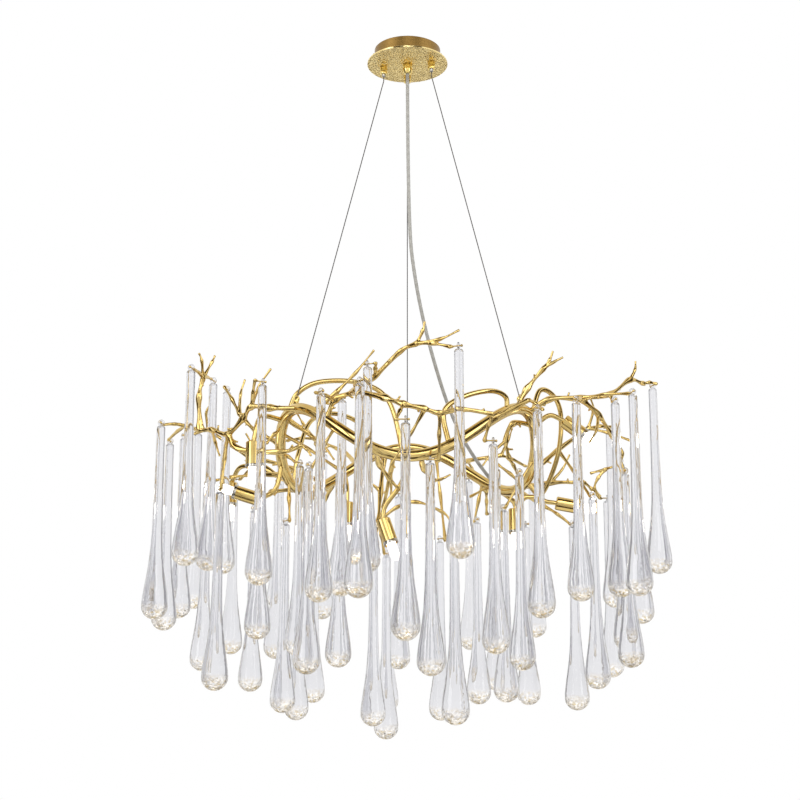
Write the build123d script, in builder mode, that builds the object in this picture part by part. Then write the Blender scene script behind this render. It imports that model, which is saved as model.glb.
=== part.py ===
from build123d import *
import os
from math import atan2, cos, degrees, pi, radians, sin, sqrt, tan

# A branch chandelier: a wavy brass ring hangs on three steel cables from a round canopy.
# Cast brass twigs grow from the ring and carry solid glass drops and small capsule lamps.
# Millimetres. The origin is the middle of the ceiling face, +Z is up, -Y is the front.

# Canopy
BAND_DIAMETER = 110.0
BAND_HEIGHT = 23.0
BAND_WALL = 1.5
PLATE_DIAMETER = 134.0
PLATE_THICKNESS = 3.0

# Ceiling bracket and the parts behind the canopy
BRACKET_WIDTH = 20.0
BRACKET_THICKNESS = 2.0
BRACKET_TAB = 14.0
BRACKET_HOLE_SPACING = 60.0
BRACKET_HOLE_DIAMETER = 5.0
SIDE_SCREW_DIAMETER = 4.0
SIDE_SCREW_HEAD_DIAMETER = 7.0
SIDE_SCREW_HEAD_HEIGHT = 2.0
SIDE_SCREW_LENGTH = 8.0
SIDE_SCREW_DROP = 8.0
TERMINAL_LENGTH = 30.0
TERMINAL_WIDTH = 14.0
TERMINAL_HEIGHT = 10.0

# Cable grippers
GRIPPER_CIRCLE = 41.0
GRIPPER_AZIMUTH = {"left": 166.0, "right": -14.0, "rear": 90.0}
GRIPPER_DIAMETER = 12.0
GRIPPER_LENGTH = 12.0
GRIPPER_STEM_DIAMETER = 8.0
STEM_RISE = 8.0
NUT_HEIGHT = 4.0
NUT_RIM = 3.0
ROUND_SIDES = 12
PLUNGER_DIAMETER = 6.0
PLUNGER_LENGTH = 11.0
PLUNGER_REACH = 5.0
PLUNGER_TRAVEL = 2.0
PLUNGER_TIP = 2.0
CABLE_DIAMETER = 1.5
CABLE_LEAD = 7.0

# Cord gland and cord
GLAND_DIAMETER = 16.0
GLAND_LENGTH = 10.0
GLAND_CAP = 6.0
GLAND_STEM_DIAMETER = 10.0
CORD_DIAMETER = 6.0
ARC_SHARE = 0.45

# Frame ring
RING_RADIUS = 200.0
RING_TUBE_DIAMETER = 17.0
RING_HEIGHT = -684.0
RING_RISE = 45.0
RING_WAVES = 3
RING_STEP = 15
RING_PEAK_AZIMUTH = {"left": 210.0, "right": 330.0, "rear": 90.0}
ANCHOR_DIAMETER = 10.0
ANCHOR_LENGTH = 14.0
ANCHOR_SOCKET = 8.0

# Vines, twigs and lamp arms
VINE_DIAMETER = 8.0
VINE_END = 16.0
VINE_STEPS = 9
ARM_STEPS = 4
TWIG_ROOT = 5.8
TWIG_END = 4.2
TWIG_WAIST = 0.7
TWIG_SIDES = 6
KNOT_LAP = 0.5
SHOOT_ROOT = 3.8
SHOOT_END = 2.9
SHOOT_RUN = 9.0
SHOOT_SIDES = 4
TIP_POINT = 0.8
PIN_DIAMETER = 2.4
PIN_BUTTON = 2.4
PIN_OVERHANG = 3.0

# Glass drops: widths, and depths below the pin
DROP_STEM = 12.0
DROP_WAIST = 15.0
DROP_WAIST_DEPTH = 190.0
DROP_SHOULDER = 28.0
DROP_SHOULDER_DEPTH = 242.0
DROP_BULB = 40.0
DROP_BULB_DEPTH = 276.0
DROP_FOOT = 16.0
DROP_LENGTH = 300.0
DROP_SIDES = 8
EYE_THICKNESS = 5.0
EYE_WIDTH = 10.0
EYE_TOP = 6.0
EYE_NECK = 8.0

# Lamps
SLEEVE_DIAMETER = 22.0
SLEEVE_LENGTH = 40.0
SLEEVE_WALL = 1.2
SLEEVE_BACK = 3.0
SOCKET_LENGTH = 20.0
BULB_DIAMETER = 13.0
BULB_LENGTH = 42.0
BULB_TIP = 6.0
LAMP_SIDES = 8

# Clearances
SLIDE_GAP = 0.3
FIT_GAP = 0.2
PIN_GAP = 0.9
EYE_GAP = 1.0

PLATE_TOP = -BAND_HEIGHT
PLATE_UNDER = PLATE_TOP - PLATE_THICKNESS
STEM_TOP = PLATE_TOP + STEM_RISE
RING_TUBE_RADIUS = RING_TUBE_DIAMETER / 2
CABLE_BORE = CABLE_DIAMETER / 2 + SLIDE_GAP + FIT_GAP
CORD_BORE = CORD_DIAMETER / 2 + SLIDE_GAP
TERMINAL_UNDER = -BRACKET_THICKNESS - TERMINAL_HEIGHT

# Where each lamp's sleeve starts, the way it points, and its arm: the root on the ring and a bend
LAMPS = [
    ((-232, -110, -690), (0, 0, -1), 198, (-222, -98, -650)),
    ((-236, 15, -757), (-0.95, 0, 0.3), 174, (-209, 15, -742)),
    ((237, 62, -756), (0.98, 0, -0.18), 18, (215, 62, -750)),
    ((240, -50, -645), (0.8, 0, -0.6), 346, (218, -50, -637)),
    ((-300, 195, -700), (0, 0, -1), 143, (-270, 175, -675)),
    ((-100, 140, -742), (0, 0, -1), 122, (-101, 148, -715)),
    ((-38, -100, -806), (0.32, -0.13, -0.94), None, None),
    ((172, 62, -765), (0, 0, -1), None, None),
]

# Vines: the root on the ring, the points of the arch, and the other root on the ring or a lamp
VINE_LEFT = (204, [(-169, -84, -610), (-135, -80, -591), (-74, -78, -592), (-31, -84, -620),
                   (-11, -98, -693), (-8, -102, -745), (-34, -99, -785)])
VINE_RIGHT = (341, [(204, -50, -598), (228, -33, -603), (241, -8, -632), (236, 14, -690),
                    (214, 44, -743), (188, 58, -748)])
VINE_FRONT = (287, [(51, -190, -663), (79, -180, -638), (120, -160, -624), (144, -140, -628)], 317)
VINE_BACK = (108, [(-75, 190, -605), (-120, 160, -588), (-160, 115, -610), (-178, 85, -670)], 158)

# Where the drops hang: the pin of each drop, in groups that swing on one line
HOOKS = {
    "far_left": [(-380, -55, -650), (-380, 35, -660)],
    "far_left_back": [(-370, 115, -635), (-355, 175, -615)],
    "left_high": [(-328, -115, -577), (-307, -15, -573), (-293, 50, -571)],
    "left_low": [(-325, 85, -720), (-285, -70, -755)],
    "left_inner": [(-225, -60, -680), (-170, 10, -700)],
    "left_under": [(-255, 150, -750), (-195, 60, -785)],
    "back_left": [(-300, 250, -685), (-220, 205, -695)],
    "back_left_under": [(-180, 155, -795), (-160, 270, -765)],
    "back_left_high": [(-225, 300, -605), (-150, 330, -620)],
    "front_left_high": [(-215, -160, -610), (-100, -100, -620)],
    "front_left_inner": [(-145, -160, -735), (-105, -40, -720)],
    "front_left": [(-125, -226, -640), (-68, -290, -640)],
    "front_high": [(-59, -222, -599), (70, -270, -585)],
    "front_centre": [(-5, -300, -697)],
    "front": [(30, -230, -740), (120, -215, -710)],
    "front_under": [(65, -175, -805)],
    "front_right": [(185, -205, -660), (250, -130, -630)],
    "right_high": [(330, -160, -625), (315, -85, -620)],
    "right": [(335, -30, -720), (340, 45, -690)],
    "far_right": [(390, 10, -575), (340, 150, -615)],
    "far_right_back": [(375, 100, -645)],
    "right_under": [(290, 15, -750), (270, 120, -780)],
    "back_right_low": [(340, 205, -725), (200, 200, -770)],
    "back_right_high": [(220, 280, -655), (110, 300, -675)],
    "back_low": [(150, 250, -745), (-15, 250, -710)],
    "back_under": [(-35, 310, -780), (55, 200, -795)],
    "inner_back": [(-55, 95, -805), (-35, 160, -825)],
    "inner_right": [(115, 150, -770), (150, 15, -770)],
    "inner_right_high": [(145, 95, -690), (170, -50, -725)],
}

# The power cord's route below its gland, down to the far right of the ring
CORD_ROUTE = [
    (0, 0, -300),
    (13, 8, -410),
    (37, 28, -515),
    (76, 70, -628),
    (128, 118, -700),
]
CORD_RING_AZIMUTH = 40.0


def on_circle(radius, azimuth, height=0.0):
    """A point on a circle about the Z axis."""
    return Vector(radius * cos(radians(azimuth)), radius * sin(radians(azimuth)), height)


def ring_point(azimuth):
    """The middle of the ring's tube: a circle that rises and falls three times in a turn."""
    wave = RING_WAVES * radians(azimuth - RING_PEAK_AZIMUTH["rear"])
    return on_circle(RING_RADIUS, azimuth, RING_HEIGHT + RING_RISE * cos(wave))


def ring_plane(azimuth):
    """The plane square to the ring's tube."""
    wave = RING_WAVES * radians(azimuth - RING_PEAK_AZIMUTH["rear"])
    along = on_circle(RING_RADIUS, azimuth + 90, -RING_WAVES * RING_RISE * sin(wave))
    return Plane(origin=ring_point(azimuth), x_dir=on_circle(1, azimuth), z_dir=along)


def ring_tube(radius):
    """The whole ring as two half turns that meet end to end."""
    with BuildPart() as tube:
        for start in (0, 180):
            for azimuth in range(start, start + 180 + RING_STEP, RING_STEP):
                with BuildSketch(ring_plane(azimuth)):
                    Circle(radius)
            loft(ruled=True)
    return tube.part


def turned(profile, base, sides):
    """A turned shape with flat sides: its outline is cut through from each side in turn."""
    outline = profile + [(-radius, height) for radius, height in reversed(profile)]
    widest = max(radius for radius, height in profile)
    with BuildPart() as shape:
        for number in range(sides // 2):
            facing = base.x_dir.rotate(Axis((0, 0, 0), base.z_dir), 360 / sides * number)
            with BuildSketch(Plane(base.origin, x_dir=base.z_dir.cross(facing), z_dir=facing)):
                Polygon(*outline, align=None)
            extrude(amount=2 * widest, both=True, mode=Mode.INTERSECT if number else Mode.ADD)
    return shape.part


def run(start, end, start_radius, end_radius, sides):
    """One straight tapered length of the casting under way."""
    along = end - start
    profile = [(start_radius, 0), (end_radius, along.length)]
    growth.append(turned(profile, Plane(origin=start, z_dir=along), sides))


def grown():
    """The lengths so far as castings, cut back to the ring that they are brazed to."""
    with BuildPart() as casting:
        add(growth)
        add(ring_room, mode=Mode.SUBTRACT)
    growth.clear()
    return casting.part


def stem(root, *points):
    """A cast stem from the ring or another stem, thinner at its end and after each knot."""
    knots = [root] + [Vector(*point) for point in points]
    thinning = (TWIG_ROOT - TWIG_END) / len(points)
    for number in range(len(points)):
        thick = TWIG_ROOT - thinning * number
        heading = (knots[number + 1] - knots[number]).normalized()
        lap = thick * KNOT_LAP if number else 0
        start = knots[number] - heading * lap
        run(start, knots[number + 1], thick, thick * TWIG_WAIST, TWIG_SIDES)
    return knots


def bare_tip(start, bend, point):
    """A pointed shoot that carries nothing, bent once."""
    middle = (SHOOT_ROOT + TIP_POINT) / 2
    run(start, Vector(*bend), SHOOT_ROOT, middle, SHOOT_SIDES)
    run(Vector(*bend), Vector(*point), middle, TIP_POINT, SHOOT_SIDES)


def pin_direction(group):
    """The level direction of a group's pins: along the group, or along the rim for a single drop."""
    hooks = [Vector(*hook) for hook in HOOKS[group]]
    line = hooks[-1] - hooks[0] if len(hooks) > 1 else Vector(-hooks[0].Y, hooks[0].X, 0)
    return Vector(line.X, line.Y, 0).normalized()


def hang(start, group, number):
    """A shoot from a stem to one drop, ending in the pin that passes through the drop's eye."""
    hook = Vector(*HOOKS[group][number])
    pin = pin_direction(group)
    side = pin if (start - hook).dot(pin) > 0 else pin * -1
    reach = EYE_THICKNESS / 2 + EYE_GAP
    knee = hook + side * (reach + SHOOT_RUN)
    run(start, knee + (knee - start).normalized() * SHOOT_END, SHOOT_ROOT, SHOOT_END, SHOOT_SIDES)
    pin_radius = PIN_DIAMETER / 2
    run(knee, hook - side * (reach + pin_radius), pin_radius, pin_radius, SHOOT_SIDES)
    run(hook - side * reach, hook - side * (reach + PIN_OVERHANG), PIN_BUTTON, PIN_BUTTON, SHOOT_SIDES)


def arc_radii(points):
    """The radii of arcs, as large as the runs allow, that round the corners of a path."""
    runs = [after - before for before, after in zip(points, points[1:])]
    radii = []
    for before, after in zip(runs, runs[1:]):
        half_turn = radians(before.get_angle(after)) / 2
        radii.append(ARC_SHARE * min(before.length, after.length) / tan(half_turn))
    return radii


def vine(points, start_heading, end_heading, steps):
    """A thin bar bent to a smooth curve through its points, in short straight lengths."""
    radius = VINE_DIAMETER / 2
    with BuildLine(mode=Mode.PRIVATE):
        curve = Spline(*points, tangents=(start_heading, end_heading))
    spots = [curve @ (number / steps) for number in range(steps + 1)]
    spots[-2] = points[-1] - end_heading * VINE_END
    for start, end in zip(spots, spots[1:]):
        run(start - (end - start).normalized() * radius * KNOT_LAP, end, radius, radius, TWIG_SIDES)


def write(piece, name):
    """Label a finished piece and write its STEP file."""
    piece.label = name
    export_step(piece, f"parts/{name}.step")


os.makedirs("parts", exist_ok=True)
growth = []

# Ceiling bracket: a strap with two screw holes and a tab at each end
band_bore = BAND_DIAMETER / 2 - BAND_WALL
tab_face = sqrt(band_bore ** 2 - (BRACKET_WIDTH / 2) ** 2) - SLIDE_GAP
with BuildPart() as ceiling_bracket:
    with BuildSketch(Plane.XY):
        Rectangle(2 * tab_face, BRACKET_WIDTH)
        with GridLocations(BRACKET_HOLE_SPACING, 0, 2, 1):
            Circle(BRACKET_HOLE_DIAMETER / 2, mode=Mode.SUBTRACT)
    extrude(amount=-BRACKET_THICKNESS)
    for end in (-1, 1):
        with BuildSketch(Plane.YZ.offset(end * tab_face)):
            with Locations((0, -BRACKET_TAB / 2)):
                Rectangle(BRACKET_WIDTH, BRACKET_TAB)
            with Locations((0, -SIDE_SCREW_DROP)):
                Circle(SIDE_SCREW_DIAMETER / 2 + FIT_GAP / 2, mode=Mode.SUBTRACT)
        extrude(amount=-end * BRACKET_THICKNESS)
write(ceiling_bracket.part, "ceiling_bracket")

# Canopy band: a short drum, open at the top, with a hole at each side for its screw
with BuildPart() as canopy_band:
    with BuildSketch(Plane.XY):
        Circle(BAND_DIAMETER / 2)
        Circle(BAND_DIAMETER / 2 - BAND_WALL, mode=Mode.SUBTRACT)
    extrude(amount=-BAND_HEIGHT)
    with BuildSketch(Plane.YZ):
        with Locations((0, -SIDE_SCREW_DROP)):
            Circle(SIDE_SCREW_DIAMETER / 2 + FIT_GAP)
    extrude(amount=BAND_DIAMETER, both=True, mode=Mode.SUBTRACT)
write(canopy_band.part, "canopy_band")

# Canopy screws: two side screws through the band into the bracket's tabs
with BuildPart() as canopy_screws:
    for end in (-1, 1):
        with BuildSketch(Plane.YZ.offset(end * (BAND_DIAMETER / 2 + FIT_GAP))):
            with Locations((0, -SIDE_SCREW_DROP)):
                RegularPolygon(SIDE_SCREW_HEAD_DIAMETER / 2, ROUND_SIDES)
        extrude(amount=end * SIDE_SCREW_HEAD_HEIGHT)
        with BuildSketch(Plane.YZ.offset(end * (BAND_DIAMETER / 2 + FIT_GAP))):
            with Locations((0, -SIDE_SCREW_DROP)):
                RegularPolygon(SIDE_SCREW_DIAMETER / 2, ROUND_SIDES)
        extrude(amount=-end * SIDE_SCREW_LENGTH)
write(canopy_screws.part, "canopy_screws")

# Canopy plate: the visible disc, drilled for three grippers and the cord gland
gripper_spots = [on_circle(GRIPPER_CIRCLE, azimuth) for azimuth in GRIPPER_AZIMUTH.values()]
with BuildPart() as canopy_plate:
    with BuildSketch(Plane.XY.offset(PLATE_TOP)):
        Circle(PLATE_DIAMETER / 2)
        Circle(GLAND_STEM_DIAMETER / 2 + FIT_GAP, mode=Mode.SUBTRACT)
        with Locations(*gripper_spots):
            Circle(GRIPPER_STEM_DIAMETER / 2 + FIT_GAP, mode=Mode.SUBTRACT)
    extrude(amount=-PLATE_THICKNESS)
write(canopy_plate.part, "canopy_plate")

# Terminal block: hangs under the bracket, over the end of the cord
with BuildPart() as terminal_block:
    with BuildSketch(Plane.XY.offset(-BRACKET_THICKNESS)):
        Rectangle(TERMINAL_LENGTH, TERMINAL_WIDTH)
    extrude(amount=-TERMINAL_HEIGHT)
write(terminal_block.part, "terminal_block")

# Cable grippers: turned barrels whose stems pass through the plate
plunger_top = PLATE_UNDER - GRIPPER_LENGTH - PLUNGER_REACH + PLUNGER_LENGTH
plunger_bore_top = plunger_top + PLUNGER_TRAVEL + SLIDE_GAP
plunger_bore = PLUNGER_DIAMETER / 2 + SLIDE_GAP + FIT_GAP
with BuildPart() as gripper_barrels:
    with BuildSketch(Plane.XY.offset(PLATE_UNDER)):
        with Locations(*gripper_spots):
            RegularPolygon(GRIPPER_DIAMETER / 2, ROUND_SIDES)
    extrude(amount=-GRIPPER_LENGTH)
    with BuildSketch(Plane.XY.offset(PLATE_UNDER)):
        with Locations(*gripper_spots):
            RegularPolygon(GRIPPER_STEM_DIAMETER / 2, ROUND_SIDES)
    extrude(amount=PLATE_THICKNESS + STEM_RISE)
    with BuildSketch(Plane.XY.offset(STEM_TOP)):
        with Locations(*gripper_spots):
            RegularPolygon(CABLE_BORE, TWIG_SIDES, major_radius=False)
    extrude(amount=PLATE_UNDER - GRIPPER_LENGTH - STEM_TOP, mode=Mode.SUBTRACT)
    with BuildSketch(Plane.XY.offset(plunger_bore_top)):
        with Locations(*gripper_spots):
            RegularPolygon(plunger_bore, ROUND_SIDES, major_radius=False)
    extrude(amount=PLATE_UNDER - GRIPPER_LENGTH - plunger_bore_top, mode=Mode.SUBTRACT)
write(gripper_barrels.part, "gripper_barrels")

with BuildPart() as gripper_nuts:
    with BuildSketch(Plane.XY.offset(PLATE_TOP)):
        with Locations(*gripper_spots):
            RegularPolygon(GRIPPER_STEM_DIAMETER / 2 + NUT_RIM, 6)
            RegularPolygon(GRIPPER_STEM_DIAMETER / 2 + FIT_GAP / 2, ROUND_SIDES, mode=Mode.SUBTRACT)
    extrude(amount=NUT_HEIGHT)
write(gripper_nuts.part, "gripper_nuts")

# Gripper plungers: the silver nozzles that are pressed in to free a cable
plunger_radius = PLUNGER_DIAMETER / 2
plunger_profile = [
    (plunger_radius, 0),
    (plunger_radius, PLUNGER_LENGTH - PLUNGER_TIP),
    ((plunger_radius + CABLE_BORE) / 2, PLUNGER_LENGTH),
]
for name, azimuth in GRIPPER_AZIMUTH.items():
    base = Plane(origin=on_circle(GRIPPER_CIRCLE, azimuth, plunger_top), z_dir=(0, 0, -1))
    with BuildPart() as gripper_plunger:
        add(turned(plunger_profile, base, ROUND_SIDES))
        with BuildSketch(base):
            RegularPolygon(CABLE_BORE, TWIG_SIDES, major_radius=False)
        extrude(amount=PLUNGER_LENGTH, mode=Mode.SUBTRACT)
    write(gripper_plunger.part, f"gripper_plunger_{name}")

# Cord gland: a turned body with a coned cap, and its lock nut inside the canopy
gland_radius = GLAND_DIAMETER / 2
gland_profile = [
    (gland_radius, 0),
    (gland_radius, GLAND_LENGTH),
    ((gland_radius + CORD_BORE) / 2, GLAND_LENGTH + GLAND_CAP),
]
with BuildPart() as cord_gland:
    add(turned(gland_profile, Plane(origin=(0, 0, PLATE_UNDER), z_dir=(0, 0, -1)), ROUND_SIDES))
    with BuildSketch(Plane.XY.offset(PLATE_UNDER)):
        RegularPolygon(GLAND_STEM_DIAMETER / 2, ROUND_SIDES)
    extrude(amount=PLATE_THICKNESS + STEM_RISE)
    with BuildSketch(Plane.XY.offset(STEM_TOP)):
        Circle(CORD_BORE)
    extrude(amount=PLATE_UNDER - GLAND_LENGTH - GLAND_CAP - STEM_TOP, mode=Mode.SUBTRACT)
write(cord_gland.part, "cord_gland")

with BuildPart() as cord_gland_nut:
    with BuildSketch(Plane.XY.offset(PLATE_TOP)):
        RegularPolygon(GLAND_STEM_DIAMETER / 2 + NUT_RIM, 6)
        RegularPolygon(GLAND_STEM_DIAMETER / 2 + FIT_GAP / 2, ROUND_SIDES, mode=Mode.SUBTRACT)
    extrude(amount=NUT_HEIGHT)
write(cord_gland_nut.part, "cord_gland_nut")

# Frame ring: one closed tube
frame_ring = ring_tube(RING_TUBE_RADIUS)
ring_room = ring_tube(RING_TUBE_RADIUS + FIT_GAP)
write(frame_ring, "frame_ring")

# Cables and their anchors: each cable leaves its gripper straight down and runs taut to the ring
nozzle_tip = PLATE_UNDER - GRIPPER_LENGTH - PLUNGER_REACH
anchor_lines = {}
for name, azimuth in GRIPPER_AZIMUTH.items():
    bend = on_circle(GRIPPER_CIRCLE, azimuth, nozzle_tip - CABLE_LEAD)
    seat = ring_point(RING_PEAK_AZIMUTH[name])
    anchor_lines[name] = (bend, seat, (bend - seat).normalized())

with BuildPart() as cable_anchors:
    for bend, seat, upward in anchor_lines.values():
        with BuildSketch(Plane(origin=seat, z_dir=upward)):
            RegularPolygon(ANCHOR_DIAMETER / 2, ROUND_SIDES)
        extrude(amount=RING_TUBE_RADIUS + ANCHOR_LENGTH)
        with BuildSketch(Plane(origin=seat + upward * (RING_TUBE_RADIUS + ANCHOR_LENGTH), z_dir=upward)):
            RegularPolygon(CABLE_BORE, TWIG_SIDES, major_radius=False)
        extrude(amount=-ANCHOR_SOCKET, mode=Mode.SUBTRACT)
    add(ring_room, mode=Mode.SUBTRACT)
write(cable_anchors.part, "cable_anchors")

cable_radius = CABLE_DIAMETER / 2
upwards = Vector(0, 0, 1)
for name, (bend, seat, upward) in anchor_lines.items():
    top = Vector(bend.X, bend.Y, TERMINAL_UNDER)
    foot = seat + upward * (RING_TUBE_RADIUS + ANCHOR_LENGTH - ANCHOR_SOCKET)
    run(top, bend - upwards * cable_radius, cable_radius, cable_radius, TWIG_SIDES)
    run(bend, foot, cable_radius, cable_radius, TWIG_SIDES)
    write(grown(), f"suspension_cable_{name}")

# Power cord: from the terminal block through its gland, then in a slack curve into the ring
cord_points = [Vector(0, 0, TERMINAL_UNDER)] + [Vector(*point) for point in CORD_ROUTE]
cord_points.append(ring_point(CORD_RING_AZIMUTH))
cord_radii = arc_radii(cord_points)
print("power cord radii:", [round(radius) for radius in cord_radii])
with BuildPart() as power_cord:
    with BuildLine() as route:
        FilletPolyline(*cord_points, radius=cord_radii)
    with BuildSketch(Plane(origin=cord_points[0], z_dir=(0, 0, -1))):
        Circle(CORD_DIAMETER / 2)
    sweep()
    add(ring_room, mode=Mode.SUBTRACT)
cord_length = route.wire().length
print("power cord length:", round(cord_length), "volume ratio:",
      round(power_cord.part.volume / (cord_length * pi * (CORD_DIAMETER / 2) ** 2), 3))
write(power_cord.part, "power_cord")

# Vines: thin tubes that arch over the ring, two of them out to a lamp
sleeve_spots = [(Vector(*place), Vector(*heading).normalized()) for place, heading, _, _ in LAMPS]
for name, (root, bends), lamp in (("left", VINE_LEFT, -2), ("right", VINE_RIGHT, -1)):
    place, heading = sleeve_spots[lamp]
    spots = [ring_point(root)] + [Vector(*bend) for bend in bends] + [place - heading * FIT_GAP]
    vine(spots, upwards, heading, VINE_STEPS)
    write(grown(), f"vine_{name}")

for root, bends, other_root in (VINE_FRONT, VINE_BACK):
    spots = [ring_point(root)] + [Vector(*bend) for bend in bends] + [ring_point(other_root)]
    vine(spots, upwards, upwards * -1, VINE_STEPS)
write(grown(), "vine_hoops")

# Twigs at the front left: the long one crosses in front of the ring's dip
rising = stem(ring_point(233), (-108, -172, -641), (-80, -190, -632), (-49, -205, -613),
              (-12, -225, -581), (12, -240, -573))
hang(rising[1], "front_left", 0)
hang(rising[3], "front_high", 0)
hang(rising[5], "front_high", 1)
bare_tip(rising[5], (20, -244, -555), (23, -245, -542))
bare_tip(rising[5], (44, -258, -572), (72, -256, -558))
crossing = stem(rising[2], (-74, -235, -642), (-33, -265, -659), (-7, -282, -672),
                (22, -272, -676), (43, -262, -680), (76, -250, -672), (119, -232, -675))
hang(crossing[1], "front_left", 1)
hang(crossing[3], "front_centre", 0)
hang(crossing[5], "front", 0)
hang(crossing[7], "front", 1)
short = stem(ring_point(225), (-106, -150, -623))
bare_tip(short[1], (-79, -148, -594), (-51, -146, -558))
hang(short[1], "front_left_high", 1)
hang(ring_point(238), "front_left_inner", 0)
hang(ring_point(291), "front_under", 0)
bare_tip(crossing[4], (4, -257, -706), (-26, -242, -750))
curling = stem(ring_point(256), (-42, -165, -735), (-28, -140, -752))
bare_tip(curling[2], (-18, -134, -762), (-6, -128, -772))
stooping = stem(ring_point(275), (22, -168, -742), (38, -145, -755))
bare_tip(stooping[2], (48, -138, -752), (62, -131, -744))
write(grown(), "twigs_front")

# Twigs at the left
reaching = stem(ring_point(214), (-207, -122, -641), (-234, -132, -642), (-247, -118, -656),
                (-272, -95, -675), (-299, -75, -665), (-319, -60, -662), (-345, -35, -650))
hang(reaching[2], "front_left_high", 0)
bare_tip(reaching[2], (-222, -138, -611), (-205, -140, -585))
hang(reaching[4], "left_low", 1)
hang(reaching[7], "far_left", 0)
hang(reaching[7], "far_left", 1)
upright = stem(reaching[6], (-322, -64, -612), (-317, -62, -580))
hang(upright[2], "left_high", 0)
hang(upright[2], "left_high", 1)
bare_tip(upright[2], (-318, -75, -556), (-322, -80, -545))
bare_tip(upright[2], (-305, -52, -552), (-301, -50, -541))
middle = stem(ring_point(184), (-240, 5, -650), (-268, 15, -620))
hang(middle[2], "left_high", 2)
bare_tip(middle[2], (-268, 25, -585), (-262, 30, -560))
hang(ring_point(193), "left_inner", 0)
hang(ring_point(179), "left_inner", 1)
hang(ring_point(190), "front_left_inner", 1)
outer = stem(ring_point(167), (-250, 75, -708))
hang(outer[1], "left_low", 0)
bare_tip(reaching[5], (-290, -98, -690), (-282, -108, -712))
drooping = stem(ring_point(200), (-152, -60, -668))
bare_tip(drooping[1], (-128, -72, -690), (-112, -78, -712))
write(grown(), "twigs_left")

# Twigs at the back left
hang(ring_point(163), "left_under", 1)
low = stem(ring_point(153), (-225, 118, -728))
hang(low[1], "left_under", 0)
spread = stem(ring_point(149), (-230, 135, -690), (-295, 145, -645), (-335, 148, -618))
hang(spread[3], "far_left_back", 0)
hang(spread[3], "far_left_back", 1)
bare_tip(spread[3], (-338, 140, -592), (-332, 135, -578))
arching = stem(ring_point(133), (-190, 180, -680), (-250, 222, -655))
hang(arching[1], "back_left", 1)
hang(arching[2], "back_left", 0)
bare_tip(arching[2], (-268, 228, -628), (-280, 225, -608))
hang(ring_point(138), "back_left_under", 0)
dropping = stem(ring_point(127), (-140, 215, -725))
hang(dropping[1], "back_left_under", 1)
high = stem(ring_point(115), (-110, 235, -640), (-165, 285, -605))
hang(high[2], "back_left_high", 0)
hang(high[2], "back_left_high", 1)
bare_tip(high[2], (-185, 282, -578), (-195, 275, -562))
write(grown(), "twigs_back_left")

# Twigs at the back
inward = stem(ring_point(101), (-45, 165, -720), (-48, 135, -775))
hang(inward[2], "inner_back", 0)
hang(inward[2], "inner_back", 1)
falling = stem(ring_point(96), (-28, 238, -670), (-42, 282, -730))
hang(falling[1], "back_low", 1)
hang(falling[2], "back_under", 0)
hang(ring_point(76), "back_under", 1)
wide = stem(ring_point(64), (105, 235, -655), (165, 262, -640))
hang(wide[1], "back_right_high", 1)
hang(wide[2], "back_right_high", 0)
bare_tip(wide[2], (178, 265, -612), (185, 258, -592))
outside = stem(ring_point(57), (135, 210, -712))
hang(outside[1], "back_low", 0)
hang(ring_point(51), "inner_right", 0)
bare_tip(outside[1], (140, 228, -690), (148, 234, -666))
bare_tip(inward[1], (-68, 158, -700), (-84, 150, -678))
write(grown(), "twigs_back")

# Twigs at the back right
near = stem(ring_point(46), (178, 175, -735))
hang(near[1], "back_right_low", 1)
far = stem(ring_point(36), (240, 170, -705), (300, 192, -700))
hang(far[2], "back_right_low", 0)
bare_tip(far[1], (262, 178, -680), (275, 175, -655))
lower = stem(ring_point(28), (225, 140, -748))
hang(lower[1], "right_under", 1)
hang(ring_point(22), "inner_right_high", 0)
lifted = stem(ring_point(13), (245, 85, -665), (300, 115, -622))
hang(lifted[1], "right_under", 0)
hang(lifted[2], "far_right", 1)
hang(lifted[2], "far_right_back", 0)
bare_tip(lifted[2], (308, 108, -592), (302, 100, -572))
hang(ring_point(4), "inner_right", 1)
write(grown(), "twigs_back_right")

# Twigs at the right
level = stem(ring_point(335), (215, -98, -622), (261, -95, -620), (311, -62, -606),
             (347, -35, -577), (372, -12, -577))
hang(level[2], "front_right", 1)
hang(level[2], "right_high", 0)
hang(level[3], "right_high", 1)
hang(level[5], "far_right", 0)
bare_tip(level[4], (356, -32, -560), (358, -30, -545))
branching = stem(level[2], (291, -70, -640), (318, -28, -665))
hang(branching[2], "right", 0)
hang(branching[2], "right", 1)
front = stem(ring_point(308), (176, -170, -640))
hang(front[1], "front_right", 0)
bare = stem(ring_point(324), (180, -112, -608), (205, -116, -578))
bare_tip(bare[2], (214, -117, -565), (219, -118, -552))
bare_tip(bare[2], (222, -118, -568), (234, -119, -562))
inner = stem(ring_point(345), (160, -74, -655), (149, -66, -680), (155, -50, -705))
hang(inner[3], "inner_right_high", 1)
bare_tip(inner[2], (128, -78, -700), (112, -84, -722))
bare_tip(branching[1], (285, -90, -668), (272, -100, -690))
write(grown(), "twigs_right")

# Lamps: a plain arm, a brass sleeve closed at the back, a ceramic socket and a capsule bulb
sleeve_radius = SLEEVE_DIAMETER / 2
socket_radius = sleeve_radius - SLEEVE_WALL - FIT_GAP
socket_start = SLEEVE_BACK + FIT_GAP
bulb_start = socket_start + SOCKET_LENGTH + FIT_GAP

for (place, heading), (_, _, root, bend) in zip(sleeve_spots[:-2], LAMPS):
    rise = Vector(*bend) - ring_point(root)
    vine([ring_point(root), Vector(*bend), place - heading * FIT_GAP], rise, heading, ARM_STEPS)
write(grown(), "lamp_arms")

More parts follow.
